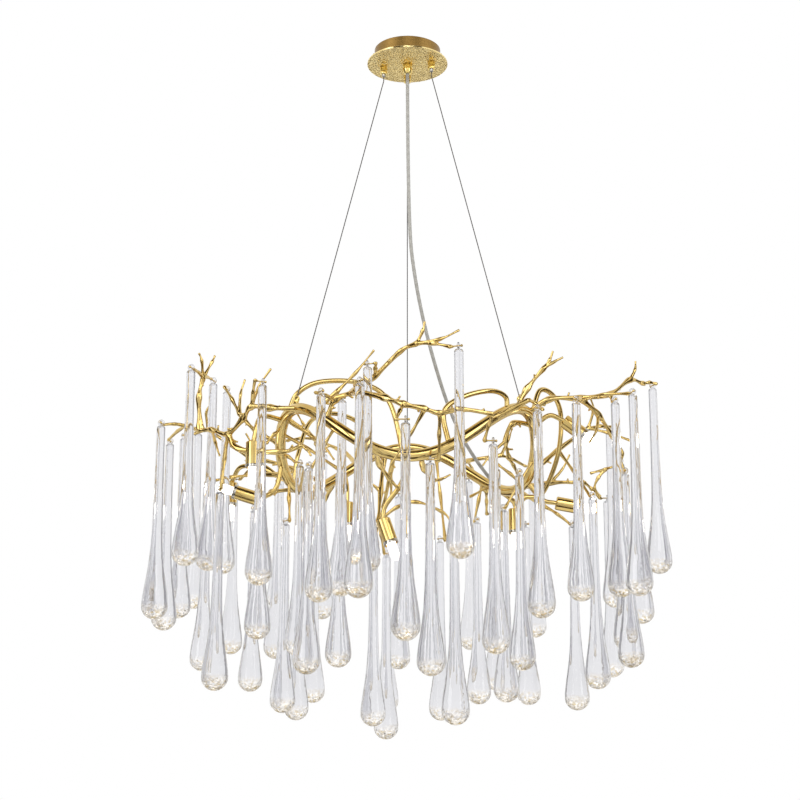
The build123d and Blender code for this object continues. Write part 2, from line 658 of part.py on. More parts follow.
with BuildPart() as lamp_sleeves:
    for place, heading in sleeve_spots:
        with BuildSketch(Plane(origin=place, z_dir=heading)):
            RegularPolygon(sleeve_radius, LAMP_SIDES)
        extrude(amount=SLEEVE_LENGTH)
        with BuildSketch(Plane(origin=place + heading * SLEEVE_BACK, z_dir=heading)):
            RegularPolygon(sleeve_radius - SLEEVE_WALL, LAMP_SIDES)
        extrude(amount=SLEEVE_LENGTH - SLEEVE_BACK, mode=Mode.SUBTRACT)
write(lamp_sleeves.part, "lamp_sleeves")

with BuildPart() as lamp_sockets:
    for place, heading in sleeve_spots:
        with BuildSketch(Plane(origin=place + heading * socket_start, z_dir=heading)):
            RegularPolygon(socket_radius, LAMP_SIDES)
        extrude(amount=SOCKET_LENGTH)
write(lamp_sockets.part, "lamp_sockets")

bulb_profile = [
    (BULB_DIAMETER / 2, 0),
    (BULB_DIAMETER / 2, BULB_LENGTH - BULB_TIP),
    (BULB_DIAMETER / 4, BULB_LENGTH),
]
with BuildPart() as lamp_bulbs:
    for place, heading in sleeve_spots:
        base = Plane(origin=place + heading * bulb_start, z_dir=heading)
        add(turned(bulb_profile, base, LAMP_SIDES))
write(lamp_bulbs.part, "lamp_bulbs")

# Glass drops: solid glass with a slim stem, a round bulb and a flat eye for the pin
drop_profile = [
    (DROP_STEM / 2, EYE_NECK),
    (DROP_WAIST / 2, DROP_WAIST_DEPTH),
    (DROP_SHOULDER / 2, DROP_SHOULDER_DEPTH),
    (DROP_BULB / 2, DROP_BULB_DEPTH),
    (DROP_FOOT / 2, DROP_LENGTH),
]
eye_outline = [
    (-EYE_WIDTH / 2, -EYE_NECK),
    (EYE_WIDTH / 2, -EYE_NECK),
    (EYE_WIDTH / 2, EYE_TOP / 3),
    (EYE_WIDTH / 4, EYE_TOP),
    (-EYE_WIDTH / 4, EYE_TOP),
    (-EYE_WIDTH / 2, EYE_TOP / 3),
]
with BuildPart() as glass_drop:
    add(turned(drop_profile, Plane(origin=(0, 0, 0), z_dir=(0, 0, -1)), DROP_SIDES))
    with BuildSketch(Plane.YZ):
        with BuildLine():
            Polyline(*eye_outline, close=True)
        make_face()
        RegularPolygon(PIN_DIAMETER / 2 + PIN_GAP, TWIG_SIDES, major_radius=False, mode=Mode.SUBTRACT)
    extrude(amount=EYE_THICKNESS / 2, both=True)

for group, hooks in HOOKS.items():
    pin = pin_direction(group)
    turn = degrees(atan2(pin.Y, pin.X))
    with BuildPart() as glass_drops:
        for hook in hooks:
            add(glass_drop.part.moved(Location(hook, (0, 0, turn))))
    write(glass_drops.part, f"glass_drops_{group}")
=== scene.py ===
from math import radians

import bpy
import numpy as np
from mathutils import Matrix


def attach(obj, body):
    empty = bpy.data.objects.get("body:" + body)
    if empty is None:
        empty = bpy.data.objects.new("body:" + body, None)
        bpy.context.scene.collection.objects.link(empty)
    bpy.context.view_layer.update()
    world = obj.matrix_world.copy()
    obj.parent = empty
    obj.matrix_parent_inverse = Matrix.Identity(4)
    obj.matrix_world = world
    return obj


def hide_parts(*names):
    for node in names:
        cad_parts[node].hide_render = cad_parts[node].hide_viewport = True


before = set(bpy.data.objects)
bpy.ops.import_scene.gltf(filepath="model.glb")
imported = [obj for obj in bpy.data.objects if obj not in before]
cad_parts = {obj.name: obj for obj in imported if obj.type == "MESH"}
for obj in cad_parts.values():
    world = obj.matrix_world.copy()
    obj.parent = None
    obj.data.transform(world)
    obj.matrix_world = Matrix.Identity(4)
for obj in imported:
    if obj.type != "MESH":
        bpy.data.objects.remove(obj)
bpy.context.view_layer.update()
scene = bpy.context.scene

# Camera: it stands in front of the chandelier, level with the feet of the lowest drops, and looks up.
# The focal length is the photograph's, for a 36 mm wide frame.
LOOK_UP = 13
camera = bpy.data.objects.new("camera", bpy.data.cameras.new("camera"))
camera.data.sensor_width = 36.0
camera.data.lens = 65.3
camera.location = (-0.0125, -2.240, -1.118)
camera.rotation_euler = (radians(90 + LOOK_UP), 0, 0)
scene.collection.objects.link(camera)
scene.camera = camera
scene.view_settings.view_transform = "Standard"


# Studio: a white room, brightest around the horizon, greyer underfoot and warmer overhead, so that
# polished metal has something to reflect. Soft boxes stand left, right and in front.
def linear(code):
    """The linear colour of an sRGB hex value: each channel is undone by the sRGB curve."""
    srgb = np.array([int(code[place:place + 2], 16) for place in (1, 3, 5)]) / 255
    curve = np.where(srgb <= 0.04045, srgb / 12.92, ((srgb + 0.055) / 1.055) ** 2.4)
    return (*curve.tolist(), 1.0)


def set_inputs(node, inputs):
    """Set a node's inputs, each to a plain value or by a link from a socket."""
    for name, value in inputs.items():
        if isinstance(value, bpy.types.NodeSocket):
            node.id_data.links.new(value, node.inputs[name])
        else:
            node.inputs[name].default_value = value


def add_node(tree, kind, inputs, **settings):
    """Add one node: its settings, then its inputs."""
    made = tree.nodes.new(kind)
    for name, value in settings.items():
        setattr(made, name, value)
    set_inputs(made, inputs)
    return made


UNDERFOOT = (0.15, "#D8D8DA")
HORIZON = [(0.46, "#FFFFFF"), (0.76, "#FFFFFF")]
OVERHEAD = (0.92, "#F0E8DA")
room = bpy.data.worlds.new("white_studio")
room.use_nodes = True
tree = room.node_tree
direction = add_node(tree, "ShaderNodeTexCoord", {})
split = add_node(tree, "ShaderNodeSeparateXYZ", {"Vector": direction.outputs["Generated"]})
height = add_node(tree, "ShaderNodeMapRange", {
    "Value": split.outputs["Z"], "From Min": -1.0, "From Max": 1.0})
walls = add_node(tree, "ShaderNodeValToRGB", {"Fac": height.outputs["Result"]})
stops = walls.color_ramp.elements
for stop, (place, tone) in zip((stops[0], stops[1]), (UNDERFOOT, OVERHEAD)):
    stop.position = place
    stop.color = linear(tone)
for place, tone in HORIZON:
    stops.new(place).color = linear(tone)
set_inputs(tree.nodes["Background"], {"Color": walls.outputs["Color"], "Strength": 1.0})
scene.world = room

# Each soft box: its place and its width in metres, and its power in watts
SOFT_BOXES = {
    "soft_box_left": ((-2.2, -1.6, 0.2), 2.0, 27.0),
    "soft_box_right": ((2.2, -1.2, 0.0), 2.0, 22.0),
    "soft_box_front": ((0.3, -2.6, 0.9), 1.6, 16.0),
}
middle_of_drops = np.array([0.0, 0.0, -0.75])
for name, (place, width, power) in SOFT_BOXES.items():
    lamp = bpy.data.lights.new(name, "AREA")
    lamp.size = width
    lamp.energy = power
    box = bpy.data.objects.new(name, lamp)
    box.location = place
    aim = middle_of_drops - np.array(place)
    tilt = np.arctan2(np.hypot(aim[0], aim[1]), -aim[2])
    box.rotation_euler = (tilt, 0, np.arctan2(-aim[0], aim[1]))
    box.visible_camera = False
    box.visible_transmission = False
    scene.collection.objects.link(box)


# Boards: matt cards out of the camera's sight. Dark ones overhead, below, behind and at both sides
# give polished brass its dark lines. Only the grey ones at the corners are seen through the glass,
# as the thin grey edges of the drops.
def upright(near, far):
    """The corners of a board that stands on the line between two (x, y) places."""
    foot, top = -2.0, 0.3
    return [(*near, foot), (*far, foot), (*far, top), (*near, top)]


def new_material(name):
    """A new material, its node tree, and the shader that the tree starts with."""
    material = bpy.data.materials.new(name)
    material.use_nodes = True
    return material, material.node_tree, material.node_tree.nodes["Principled BSDF"]


BOARDS = {
    "dark_overhead": [(-1.3, -1.9, 0.9), (1.3, -1.9, 0.9), (1.3, -0.2, 1.1), (-1.3, -0.2, 1.1)],
    "dark_below": [(-1.5, -2.0, -2.2), (1.5, -2.0, -2.2), (1.5, -0.6, -2.3), (-1.5, -0.6, -2.3)],
    "dark_behind": [(-1.6, 1.3, -2.3), (1.6, 1.3, -2.3), (1.6, 2.1, -1.7), (-1.6, 2.1, -1.7)],
    "dark_left": upright((-1.5, -0.9), (-1.5, 0.3)),
    "dark_right": upright((1.5, -0.9), (1.5, 0.3)),
    "grey_left_front": upright((-1.45, -0.36), (-1.25, -0.85)),
    "grey_left_back": upright((-1.45, 0.36), (-1.25, 0.85)),
    "grey_right_front": upright((1.45, -0.36), (1.25, -0.85)),
    "grey_right_back": upright((1.45, 0.36), (1.25, 0.85)),
}
BOARD_TONES = {"dark": "#38290F", "grey": "#9B9B9F"}

# Painted card: dead matt, so it shows only as a tone in what reflects or refracts it
painted = {}
for tone, code in BOARD_TONES.items():
    painted[tone], _, shader = new_material(f"matt_{tone}_board")
    set_inputs(shader, {"Base Color": linear(code), "Roughness": 0.9})
for name, corners in BOARDS.items():
    tone = name.split("_")[0]
    board_mesh = bpy.data.meshes.new(name)
    board_mesh.from_pydata(corners, [], [(0, 1, 2, 3)])
    board_mesh.materials.append(painted[tone])
    board = bpy.data.objects.new(name, board_mesh)
    board.visible_camera = False
    board.visible_diffuse = False
    board.visible_shadow = False
    board.visible_glossy = tone == "dark"
    board.visible_transmission = tone == "grey"
    scene.collection.objects.link(board)


# Ceiling bracket, screws, nuts and terminal block: a pressed, zinc plated steel strap on the ceiling,
# the turned brass screws and nuts that hold the canopy together, and a moulded block for the wires.
# The CAD pieces stay and take their finishes.
def dress(node, material):
    """Give a CAD node its material."""
    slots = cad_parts[node].data.materials
    slots.clear()
    slots.append(material)


MM = 0.001
SPANGLE_SIZE = 6 * MM
MOULD_GRAIN = 2 * MM

# Zinc plated steel: a dull grey metal with a faint pattern of paler crystals
zinc, tree, shader = new_material("zinc_plated_steel")
place = add_node(tree, "ShaderNodeTexCoord", {})
spangle = add_node(tree, "ShaderNodeTexVoronoi", {
    "Vector": place.outputs["Object"], "Scale": 1 / SPANGLE_SIZE})
zinc_tone = add_node(tree, "ShaderNodeMixRGB", {
    "Fac": spangle.outputs["Distance"], "Color1": linear("#B9BCBE"), "Color2": linear("#A3A7AA")})
set_inputs(shader, {"Base Color": zinc_tone.outputs["Color"], "Metallic": 1.0, "Roughness": 0.38})
dress("ceiling_bracket", zinc)

# Moulded polyamide: an off-white plastic with the soft grain of its mould
moulded, tree, shader = new_material("moulded_polyamide")
place = add_node(tree, "ShaderNodeTexCoord", {})
flow = add_node(tree, "ShaderNodeTexNoise", {"Vector": place.outputs["Object"], "Scale": 1 / MOULD_GRAIN})
grain = add_node(tree, "ShaderNodeBump", {"Height": flow.outputs["Fac"], "Strength": 0.08, "Distance": MM})
set_inputs(shader, {
    "Base Color": linear("#DAD8D2"), "Roughness": 0.5, "Normal": grain.outputs["Normal"]})
dress("terminal_block", moulded)


def plated_brass(name, bright, deep, roughness, lump, depth):
    """Brass, cast or drawn and gold plated: a warm mirror whose tone and polish drift a little.
    lump is the size in millimetres of its unevenness and depth how far that stands out."""
    drift_size = 25 * MM
    polish_drift = 0.3
    material, tree, shader = new_material(name)
    place = add_node(tree, "ShaderNodeTexCoord", {})
    drift = add_node(tree, "ShaderNodeTexNoise", {
        "Vector": place.outputs["Object"], "Scale": 1 / drift_size, "Detail": 3.0})
    tone = add_node(tree, "ShaderNodeMixRGB", {
        "Fac": drift.outputs["Fac"], "Color1": linear(deep), "Color2": linear(bright)})
    polish = add_node(tree, "ShaderNodeMapRange", {
        "Value": drift.outputs["Fac"], "To Min": roughness * (1 - polish_drift),
        "To Max": roughness * (1 + polish_drift)})
    skin = add_node(tree, "ShaderNodeTexNoise", {
        "Vector": place.outputs["Object"], "Scale": 1 / (lump * MM), "Detail": 2.0})
    relief = add_node(tree, "ShaderNodeBump", {
        "Height": skin.outputs["Fac"], "Strength": 0.6, "Distance": depth * MM})
    set_inputs(shader, {
        "Base Color": tone.outputs["Color"], "Metallic": 1.0, "Roughness": polish.outputs["Result"],
        "Normal": relief.outputs["Normal"]})
    return material


# Turned brass: bright yellow and a little soft from the tool, so its highlights are broad
turned_brass = plated_brass("turned_brass", "#FFEBA2", "#F3D070", 0.2, 8, 0.05)
for node in ("canopy_screws", "gripper_nuts", "cord_gland_nut"):
    dress(node, turned_brass)


# Canopy band: a short drum of brass sheet, rolled and brazed, brushed round and lacquered a browner
# gold. It hangs from the bracket by its two side screws and closes the gap to the ceiling.
def unit(vectors):
    """The same vectors with length one."""
    vectors = np.asarray(vectors, float)
    return vectors / np.linalg.norm(vectors, axis=-1, keepdims=True)


def grid_faces(rows, columns, wrap_rows=False):
    """The quads between the rows of a grid whose columns go round and meet."""
    row = np.arange(rows if wrap_rows else rows - 1)[:, None]
    column = np.arange(columns)[None, :]
    after_row = (row + 1) % rows
    after_column = (column + 1) % columns
    corners = [row * columns + column, row * columns + after_column,
               after_row * columns + after_column, after_row * columns + column]
    return np.stack(np.broadcast_arrays(*corners), -1).reshape(-1, 4)


def turned_circles(profile, origin, heading, sides):
    """Each (radius, height) of a profile as a circle, square to the heading and that high along it."""
    profile = np.asarray(profile, float)
    heading = unit(heading)
    guide = np.array([1.0, 0, 0]) if abs(heading[0]) < 0.9 else np.array([0, 1.0, 0])
    across = unit(np.cross(heading, guide))
    upward = np.cross(heading, across)
    turn = np.linspace(0, 2 * np.pi, sides, endpoint=False)
    ring = across * np.cos(turn)[:, None] + upward * np.sin(turn)[:, None]
    axis = np.asarray(origin, float) + heading * profile[:, 1:]
    return axis[:, None, :] + ring * profile[:, 0, None, None]


def wheel(profile, origin, heading, sides):
    """A turned piece with a hole: its closed profile goes round the heading and meets itself."""
    circles = turned_circles(profile, origin, heading, sides)
    return circles.reshape(-1, 3), [grid_faces(len(profile), sides, True)]


def make_piece(name, shells, material, slot, body, *nodes):
    """One object from closed shells in millimetres, smooth shaded, riding on a body.
    Faces that meet at more than the sharp angle keep a crisp edge."""
    sharp_angle = radians(38)
    offset = 0
    points = []
    faces = []
    for shell, shell_faces in shells:
        points.append(shell)
        faces += [face for group in shell_faces for face in (group + offset).tolist()]
        offset += len(shell)
    mesh = bpy.data.meshes.new(name)
    mesh.from_pydata((np.vstack(points) * MM).tolist(), [], faces)
    mesh.polygons.foreach_set("use_smooth", np.ones(len(mesh.polygons), bool))
    mesh.set_sharp_from_angle(angle=sharp_angle)
    mesh.materials.append(material)
    piece = bpy.data.objects.new(name, mesh)
    scene.collection.objects.link(piece)
    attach(piece, body)
    if nodes:
        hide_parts(*nodes)
    return piece


BAND_RADIUS = 55.0
BAND_HEIGHT = 23.0
BAND_WALL = 1.5
BAND_EDGE = 0.3
DOWN = (0, 0, -1)
STROKE_SIZE = 0.8 * MM
STROKE_STRETCH = 0.02

# Brushed, lacquered brass: brown gold. The brush marks run round the drum, so highlights stand upright
brushed, tree, shader = new_material("brushed_lacquered_brass")
place = add_node(tree, "ShaderNodeTexCoord", {})
stretch = add_node(tree, "ShaderNodeMapping", {
    "Vector": place.outputs["Object"], "Scale": (STROKE_STRETCH, STROKE_STRETCH, 1.0)})
strokes = add_node(tree, "ShaderNodeTexNoise", {
    "Vector": stretch.outputs["Vector"], "Scale": 1 / STROKE_SIZE, "Detail": 4.0})
band_tone = add_node(tree, "ShaderNodeMixRGB", {
    "Fac": strokes.outputs["Fac"], "Color1": linear("#765A2C"), "Color2": linear("#A2824A")})
stroke_relief = add_node(tree, "ShaderNodeBump", {
    "Height": strokes.outputs["Fac"], "Strength": 0.35, "Distance": 0.1 * MM})
set_inputs(shader, {
    "Base Color": band_tone.outputs["Color"], "Metallic": 1.0, "Roughness": 0.32, "Anisotropic": 0.6,
    "Normal": stroke_relief.outputs["Normal"]})

band_inside = BAND_RADIUS - BAND_WALL
band_eased = BAND_RADIUS - BAND_EDGE
band_profile = [(band_inside, 0), (band_eased, 0), (BAND_RADIUS, BAND_EDGE),
                (BAND_RADIUS, BAND_HEIGHT - BAND_EDGE), (band_eased, BAND_HEIGHT),
                (band_inside, BAND_HEIGHT)]
make_piece("canopy_band_drum", [wheel(band_profile, (0, 0, 0), DOWN, sides=128)], brushed, "brushed_brass",
           "frame", "canopy_band")


# Canopy plate: a round of brass sheet, hammered all over, polished and plated a bright pale gold.
# Every blow leaves a shallow dish about 3 mm across. It closes the band from below, and nuts inside
# lock the grippers and the gland to it.
def end_fans(rows, columns):
    """The triangles from the end rows of a grid to its two poles, the points that follow the grid."""
    first = np.arange(columns)
    after = (first + 1) % columns
    pole = rows * columns
    last_row = pole - columns
    return [np.stack([np.full(columns, pole), after, first], -1),
            np.stack([np.full(columns, pole + 1), first + last_row, after + last_row], -1)]


PLATE_RADIUS = 67.0
PLATE_THICK = 3.0
PLATE_TOP = -BAND_HEIGHT
PLATE_UNDER = PLATE_TOP - PLATE_THICK
PLATE_EDGE = 0.5
PLATE_MIDDLE = 0.4
PLATE_RINGS = 120
PLATE_SPOKES = 440
HAMMERED_RADIUS = PLATE_RADIUS - 0.6
BLOW = 3.4
BLOW_DEPTH = 0.85
BLOW_SCATTER = 0.42
DISH_REACH = 0.62 * BLOW
BLOWS_ACROSS = 21

# Hammered brass: a pale gold mirror. Every dish gives its own glint, so the plate glitters.
hammered = plated_brass("hammered_brass", "#FFEBAC", "#F3D58A", 0.08, 3, 0.05)
blows = np.random.default_rng(7)
rank = np.arange(-BLOWS_ACROSS, BLOWS_ACROSS + 1)
cells = np.stack(np.meshgrid(rank, rank, indexing="ij"), -1).reshape(-1, 2)
blow_spots = (cells + blows.uniform(-BLOW_SCATTER, BLOW_SCATTER, cells.shape)) * BLOW
plate_radii = np.linspace(PLATE_MIDDLE, HAMMERED_RADIUS, PLATE_RINGS)
plate_turns = np.linspace(0, 2 * np.pi, PLATE_SPOKES, endpoint=False)
plate_x = plate_radii[:, None] * np.cos(plate_turns)
plate_y = plate_radii[:, None] * np.sin(plate_turns)
nearest = np.full(plate_x.shape, np.inf)
for spot in blow_spots:
    nearest = np.minimum(nearest, np.hypot(plate_x - spot[0], plate_y - spot[1]))
dishes = BLOW_DEPTH * np.clip(1 - (nearest / DISH_REACH) ** 2, 0, 1)
under = np.stack([plate_x, plate_y, PLATE_UNDER + dishes], -1)
rim = np.stack([np.cos(plate_turns), np.sin(plate_turns)], -1)
edge_steps = [(PLATE_RADIUS, PLATE_UNDER + PLATE_EDGE), (PLATE_RADIUS, PLATE_TOP - PLATE_EDGE),
              (PLATE_RADIUS - PLATE_EDGE, PLATE_TOP), (PLATE_MIDDLE, PLATE_TOP)]
edge = [np.column_stack([rim * radius, np.full(len(rim), level)]) for radius, level in edge_steps]
plate_rows = PLATE_RINGS + len(edge)
plate_points = np.vstack([under.reshape(-1, 3), *edge, (0, 0, PLATE_UNDER), (0, 0, PLATE_TOP)])
plate_faces = [grid_faces(plate_rows, PLATE_SPOKES), *end_fans(plate_rows, PLATE_SPOKES)]
make_piece("canopy_plate_hammered", [(plate_points, plate_faces)], hammered, "hammered_brass", "frame",
           "canopy_plate")

# Cable grippers and cord gland: turned brass barrels screwed through the plate, each with a nozzle
# of bright nickel that is pressed in to free its cable. The gland in the middle has a coned cap.
GRIPPERS = {"left": 166.0, "right": -14.0, "rear": 90.0}
GRIPPER_CIRCLE = 41.0
NOZZLE_TIP = -43.0
UP = (0, 0, 1)
RUB_SIZE = 3 * MM

# Bright nickel: a grey white mirror, rubbed a little dull here and there
nickel, tree, shader = new_material("bright_nickel")
place = add_node(tree, "ShaderNodeTexCoord", {})
rubbed = add_node(tree, "ShaderNodeTexNoise", {"Vector": place.outputs["Object"], "Scale": 1 / RUB_SIZE})
nickel_polish = add_node(tree, "ShaderNodeMapRange", {
    "Value": rubbed.outputs["Fac"], "To Min": 0.1, "To Max": 0.24})
set_inputs(shader, {
    "Base Color": linear("#B4B1AA"), "Metallic": 1.0, "Roughness": nickel_polish.outputs["Result"]})

gripper_tops = {name: GRIPPER_CIRCLE * np.array([np.cos(radians(turn)), np.sin(radians(turn)), 0])
                for name, turn in GRIPPERS.items()}
barrel_profile = [(1.3, -11), (4.0, -11), (4.0, 0), (5.6, 0), (6.0, 0.4), (6.0, 6.5), (5.3, 7.2), (5.3, 8.4),
                  (6.0, 9.0), (6.0, 11.4), (5.6, 12.0), (3.5, 12.0), (3.5, 4.0), (1.3, 4.0)]
barrels = [wheel(barrel_profile, top + (0, 0, PLATE_UNDER), DOWN, sides=40) for top in gripper_tops.values()]
make_piece("gripper_barrels_turned", barrels, turned_brass, "polished_brass", "frame", "gripper_barrels")

nozzle_profile = [(1.3, 0), (1.9, 0), (2.3, 0.3), (3.0, 2.0), (3.0, 10.6), (2.6, 11.0), (1.3, 11.0)]
for name, top in gripper_tops.items():
    make_piece(f"gripper_nozzle_{name}", [wheel(nozzle_profile, top + (0, 0, NOZZLE_TIP), UP, sides=32)],
               nickel, "nickel", f"plunger_{name}", f"gripper_plunger_{name}")

gland_profile = [(3.3, -11), (5.0, -11), (5.0, 0), (7.7, 0), (8.0, 0.4), (8.0, 4.2), (7.2, 4.8), (7.2, 5.6),
                 (8.0, 6.2), (8.0, 9.8), (7.4, 11.2), (6.2, 15.4), (5.6, 16.0), (3.3, 16.0)]
make_piece("cord_gland_turned", [wheel(gland_profile, (0, 0, PLATE_UNDER), DOWN, sides=48)], turned_brass,
           "polished_brass", "frame", "cord_gland")


# Power cord: twisted cores inside a clear PVC jacket, a flexible 6 mm lead. It drops straight from
# the terminal block through its gland and hangs in a slack curve into the back right of the ring.
def ring_line(azimuth):
    """The middle of the ring's tube: a circle, whose height rises and falls three times in a turn."""
    radius, level, rise, waves = 200, -684, 45, 3
    azimuth = np.radians(np.asarray(azimuth, float))
    height = level + rise * np.cos(waves * (azimuth - np.pi / 2))
    return np.stack([radius * np.cos(azimuth), radius * np.sin(azimuth), height], -1)


def tube(path, radii, sides, shape=None, closed=False):
    """A round tube: a circle at each point of a path, square to it, with the radius given there.
    The circles are set out from one fixed direction, the one that the path turns to least.
    shape scales the radius by the turn round the tube and the part of its length."""
    path = np.asarray(path, float)
    if closed:
        along = unit(np.roll(path, -1, 0) - np.roll(path, 1, 0))
    else:
        along = unit(np.gradient(path, axis=0))
    least = np.linalg.svd(along, full_matrices=True)[2][-1]
    across = unit(least - (along @ least)[:, None] * along)
    upward = np.cross(along, across)
    turn = np.linspace(0, 2 * np.pi, sides, endpoint=False)[None, :]
    reach = np.broadcast_to(np.asarray(radii, float).reshape(-1, 1), (len(path), sides))
    if shape is not None:
        reach = reach * shape(turn, np.arange(len(path))[:, None] / len(path))
    ring = across[:, None, :] * np.cos(turn)[..., None] + upward[:, None, :] * np.sin(turn)[..., None]
    points = (path[:, None, :] + ring * reach[..., None]).reshape(-1, 3)
    faces = grid_faces(len(path), sides, closed)
    if closed:
        return points, [faces]
    return np.vstack([points, path[:1], path[-1:]]), [faces, *end_fans(len(path), sides)]


CORD_RADIUS = 2.9
CORD_LAY = 0.045
CORD_OVAL = 0.015
CORD_STEPS = 420
CORE_STRIPE = 14 * MM
WAVES_PER_UNIT = 3
cord_route = [(0, 0, -12), (0, 0, -300), (13, 8, -410), (37, 28, -515), (76, 70, -628), (128, 118, -700),
              tuple(ring_line(40).tolist())]
cord_curve = bpy.data.curves.new("cord_route", "CURVE")
cord_curve.dimensions = "3D"
cord_curve.resolution_u = 40
spline = cord_curve.splines.new("NURBS")
spline.points.add(len(cord_route) - 1)
for point, spot in zip(spline.points, cord_route):
    point.co = (*(np.array(spot) * MM), 1.0)
spline.order_u = 3
spline.use_endpoint_u = True
cord_guide = bpy.data.objects.new("cord_route", cord_curve)
scene.collection.objects.link(cord_guide)
cord_mesh = bpy.data.meshes.new_from_object(cord_guide)
cord_line = np.empty((len(cord_mesh.vertices), 3), np.float32)
cord_mesh.vertices.foreach_get("co", cord_line.ravel())
cord_line = cord_line.astype(float)
bpy.data.objects.remove(cord_guide)
bpy.data.meshes.remove(cord_mesh)
cord_steps = np.linalg.norm(np.diff(cord_line, axis=0), axis=1)
cord_run = np.concatenate([[0], np.cumsum(cord_steps)])
even_run = np.linspace(0, cord_run[-1], CORD_STEPS)
cord_path = np.stack([np.interp(even_run, cord_run, cord_line[:, axis]) for axis in range(3)], -1)

# Clear PVC: soft, glossy and slightly milky. The pale cores inside show as faint twisted stripes.
# A wave texture at scale 1 repeats about three times in a unit.
pvc, tree, shader = new_material("clear_pvc_jacket")
place = add_node(tree, "ShaderNodeTexCoord", {})
twist = add_node(tree, "ShaderNodeTexWave", {
    "Vector": place.outputs["Object"], "Scale": 1 / (WAVES_PER_UNIT * CORE_STRIPE), "Distortion": 1.5,
    "Detail": 1.0}, bands_direction="Z")
cores = add_node(tree, "ShaderNodeMixRGB", {
    "Fac": twist.outputs["Fac"], "Color1": linear("#A19F99"), "Color2": linear("#ABA9A3")})
set_inputs(shader, {
    "Base Color": cores.outputs["Color"], "Roughness": 0.22, "IOR": 1.53, "Transmission Weight": 0.25})


def twisted_pair(turn, part):
    """A jacket drawn tight over two twisted cores: an oval that turns once in each lay."""
    lays = part * cord_run[-1] / CORD_LAY
    return 1 + CORD_OVAL * np.cos(2 * (turn - 2 * np.pi * lays))


jacket = tube(cord_path / MM, np.full(CORD_STEPS, CORD_RADIUS), sides=20, shape=twisted_pair)
cord = make_piece("power_cord_jacket", [jacket], pvc, "clear_pvc", "frame", "power_cord")


# Suspension cables: 1.5 mm steel wire rope, six strands laid round a core, pulled taut by the weight.
# Each leaves its gripper straight down and runs to a turned brass anchor at one crest of the ring.
def lathe(profile, origin, heading, sides):
    """A turned piece without a hole: its profile starts and ends on the axis, at its two poles."""
    circles = turned_circles(profile, origin, heading, sides)
    points = np.vstack([circles[1:-1].reshape(-1, 3), circles[0, :1], circles[-1, :1]])
    rows = len(profile) - 2
    return points, [grid_faces(rows, sides), *end_fans(rows, sides)]


def strands(turn, part):
    """Strands twisted round the rope: as many soft lobes, which turn once in about 14 mm."""
    return 1 + STRAND_RELIEF * np.cos(STRANDS * (turn - 2 * np.pi * part * ROPE_LAYS))


CABLE_RADIUS = 0.75
CABLE_TOP = -12.0
CABLE_BEND = -50.0
CRESTS = {"left": 210.0, "right": 330.0, "rear": 90.0}
RING_TUBE = 8.5
CABLE_SEAT = 6.0
CABLE_FOOT = RING_TUBE + CABLE_SEAT
PLUMB_STEPS = 60
RUN_STEPS = 600
STRANDS = 6
STRAND_RELIEF = 0.1
ROPE_LAYS = 45
STRAND_STRIPE = 4 * MM

# Steel wire rope: dark grey, dull metal. The gaps between its strands get a fine dark stripe of painted
# shade, drawn coarser than they are so that they show.
rope, tree, shader = new_material("steel_wire_rope")
place = add_node(tree, "ShaderNodeTexCoord", {})
lay = add_node(tree, "ShaderNodeTexWave", {
    "Vector": place.outputs["Object"], "Scale": 1 / (WAVES_PER_UNIT * STRAND_STRIPE)},
    bands_direction="Z")
# Painted shade: the darker tone marks the gaps between the strands.
rope_tone_and_gap_shade = add_node(tree, "ShaderNodeMixRGB", {
    "Fac": lay.outputs["Fac"], "Color1": linear("#474543"), "Color2": linear("#757270")})
set_inputs(shader, {"Base Color": rope_tone_and_gap_shade.outputs["Color"], "Metallic": 1.0, "Roughness": 0.42})

anchors = []
anchor_profile = [(0, 6.0), (5.0, 6.0), (5.0, 9.5), (4.4, 10.3), (4.4, 11.5), (5.0, 12.2), (5.0, 19.0),
                  (4.2, 21.0), (2.4, 22.5), (1.2, 22.5), (1.2, 16.0), (0, 16.0)]
for name, top in gripper_tops.items():
    bend = top + (0, 0, CABLE_BEND)
    seat = ring_line(CRESTS[name])
    upward = unit(bend - seat)
    foot = seat + upward * CABLE_FOOT
    plumb = np.linspace(0, 1, PLUMB_STEPS)[:, None]
    run_down = np.linspace(0, 1, RUN_STEPS)[:, None]
    line = np.vstack([(top + (0, 0, CABLE_TOP)) * (1 - plumb) + bend * plumb,
                      (bend * (1 - run_down) + foot * run_down)[1:]])
    wire = tube(line, np.full(len(line), CABLE_RADIUS), sides=18, shape=strands)
    cable = make_piece(f"suspension_wire_{name}", [wire], rope, "steel_cable", "frame",
                       f"suspension_cable_{name}")
    anchors.append(lathe(anchor_profile, seat, upward, sides=32))
make_piece("cable_anchors_turned", anchors, turned_brass, "polished_brass", "frame", "cable_anchors")

# Frame ring: a thick brass tube bent to a circle with three waves, brazed shut, polished and plated
# pale gold. It hangs on the three anchors, and everything below hangs on it.
RING_STEPS = 360
ring_path = ring_line(np.linspace(0, 360, RING_STEPS, endpoint=False))

# Drawn, plated brass: a smooth gold mirror with long reflections that bend a little along the tube
drawn_brass = plated_brass("drawn_plated_brass", "#ECD492", "#CBA95C", 0.11, 18, 0.12)
make_piece("frame_ring_tube", [tube(ring_path, np.full(RING_STEPS, RING_TUBE), sides=36, closed=True)],
           drawn_brass, "polished_brass", "frame", "frame_ring")


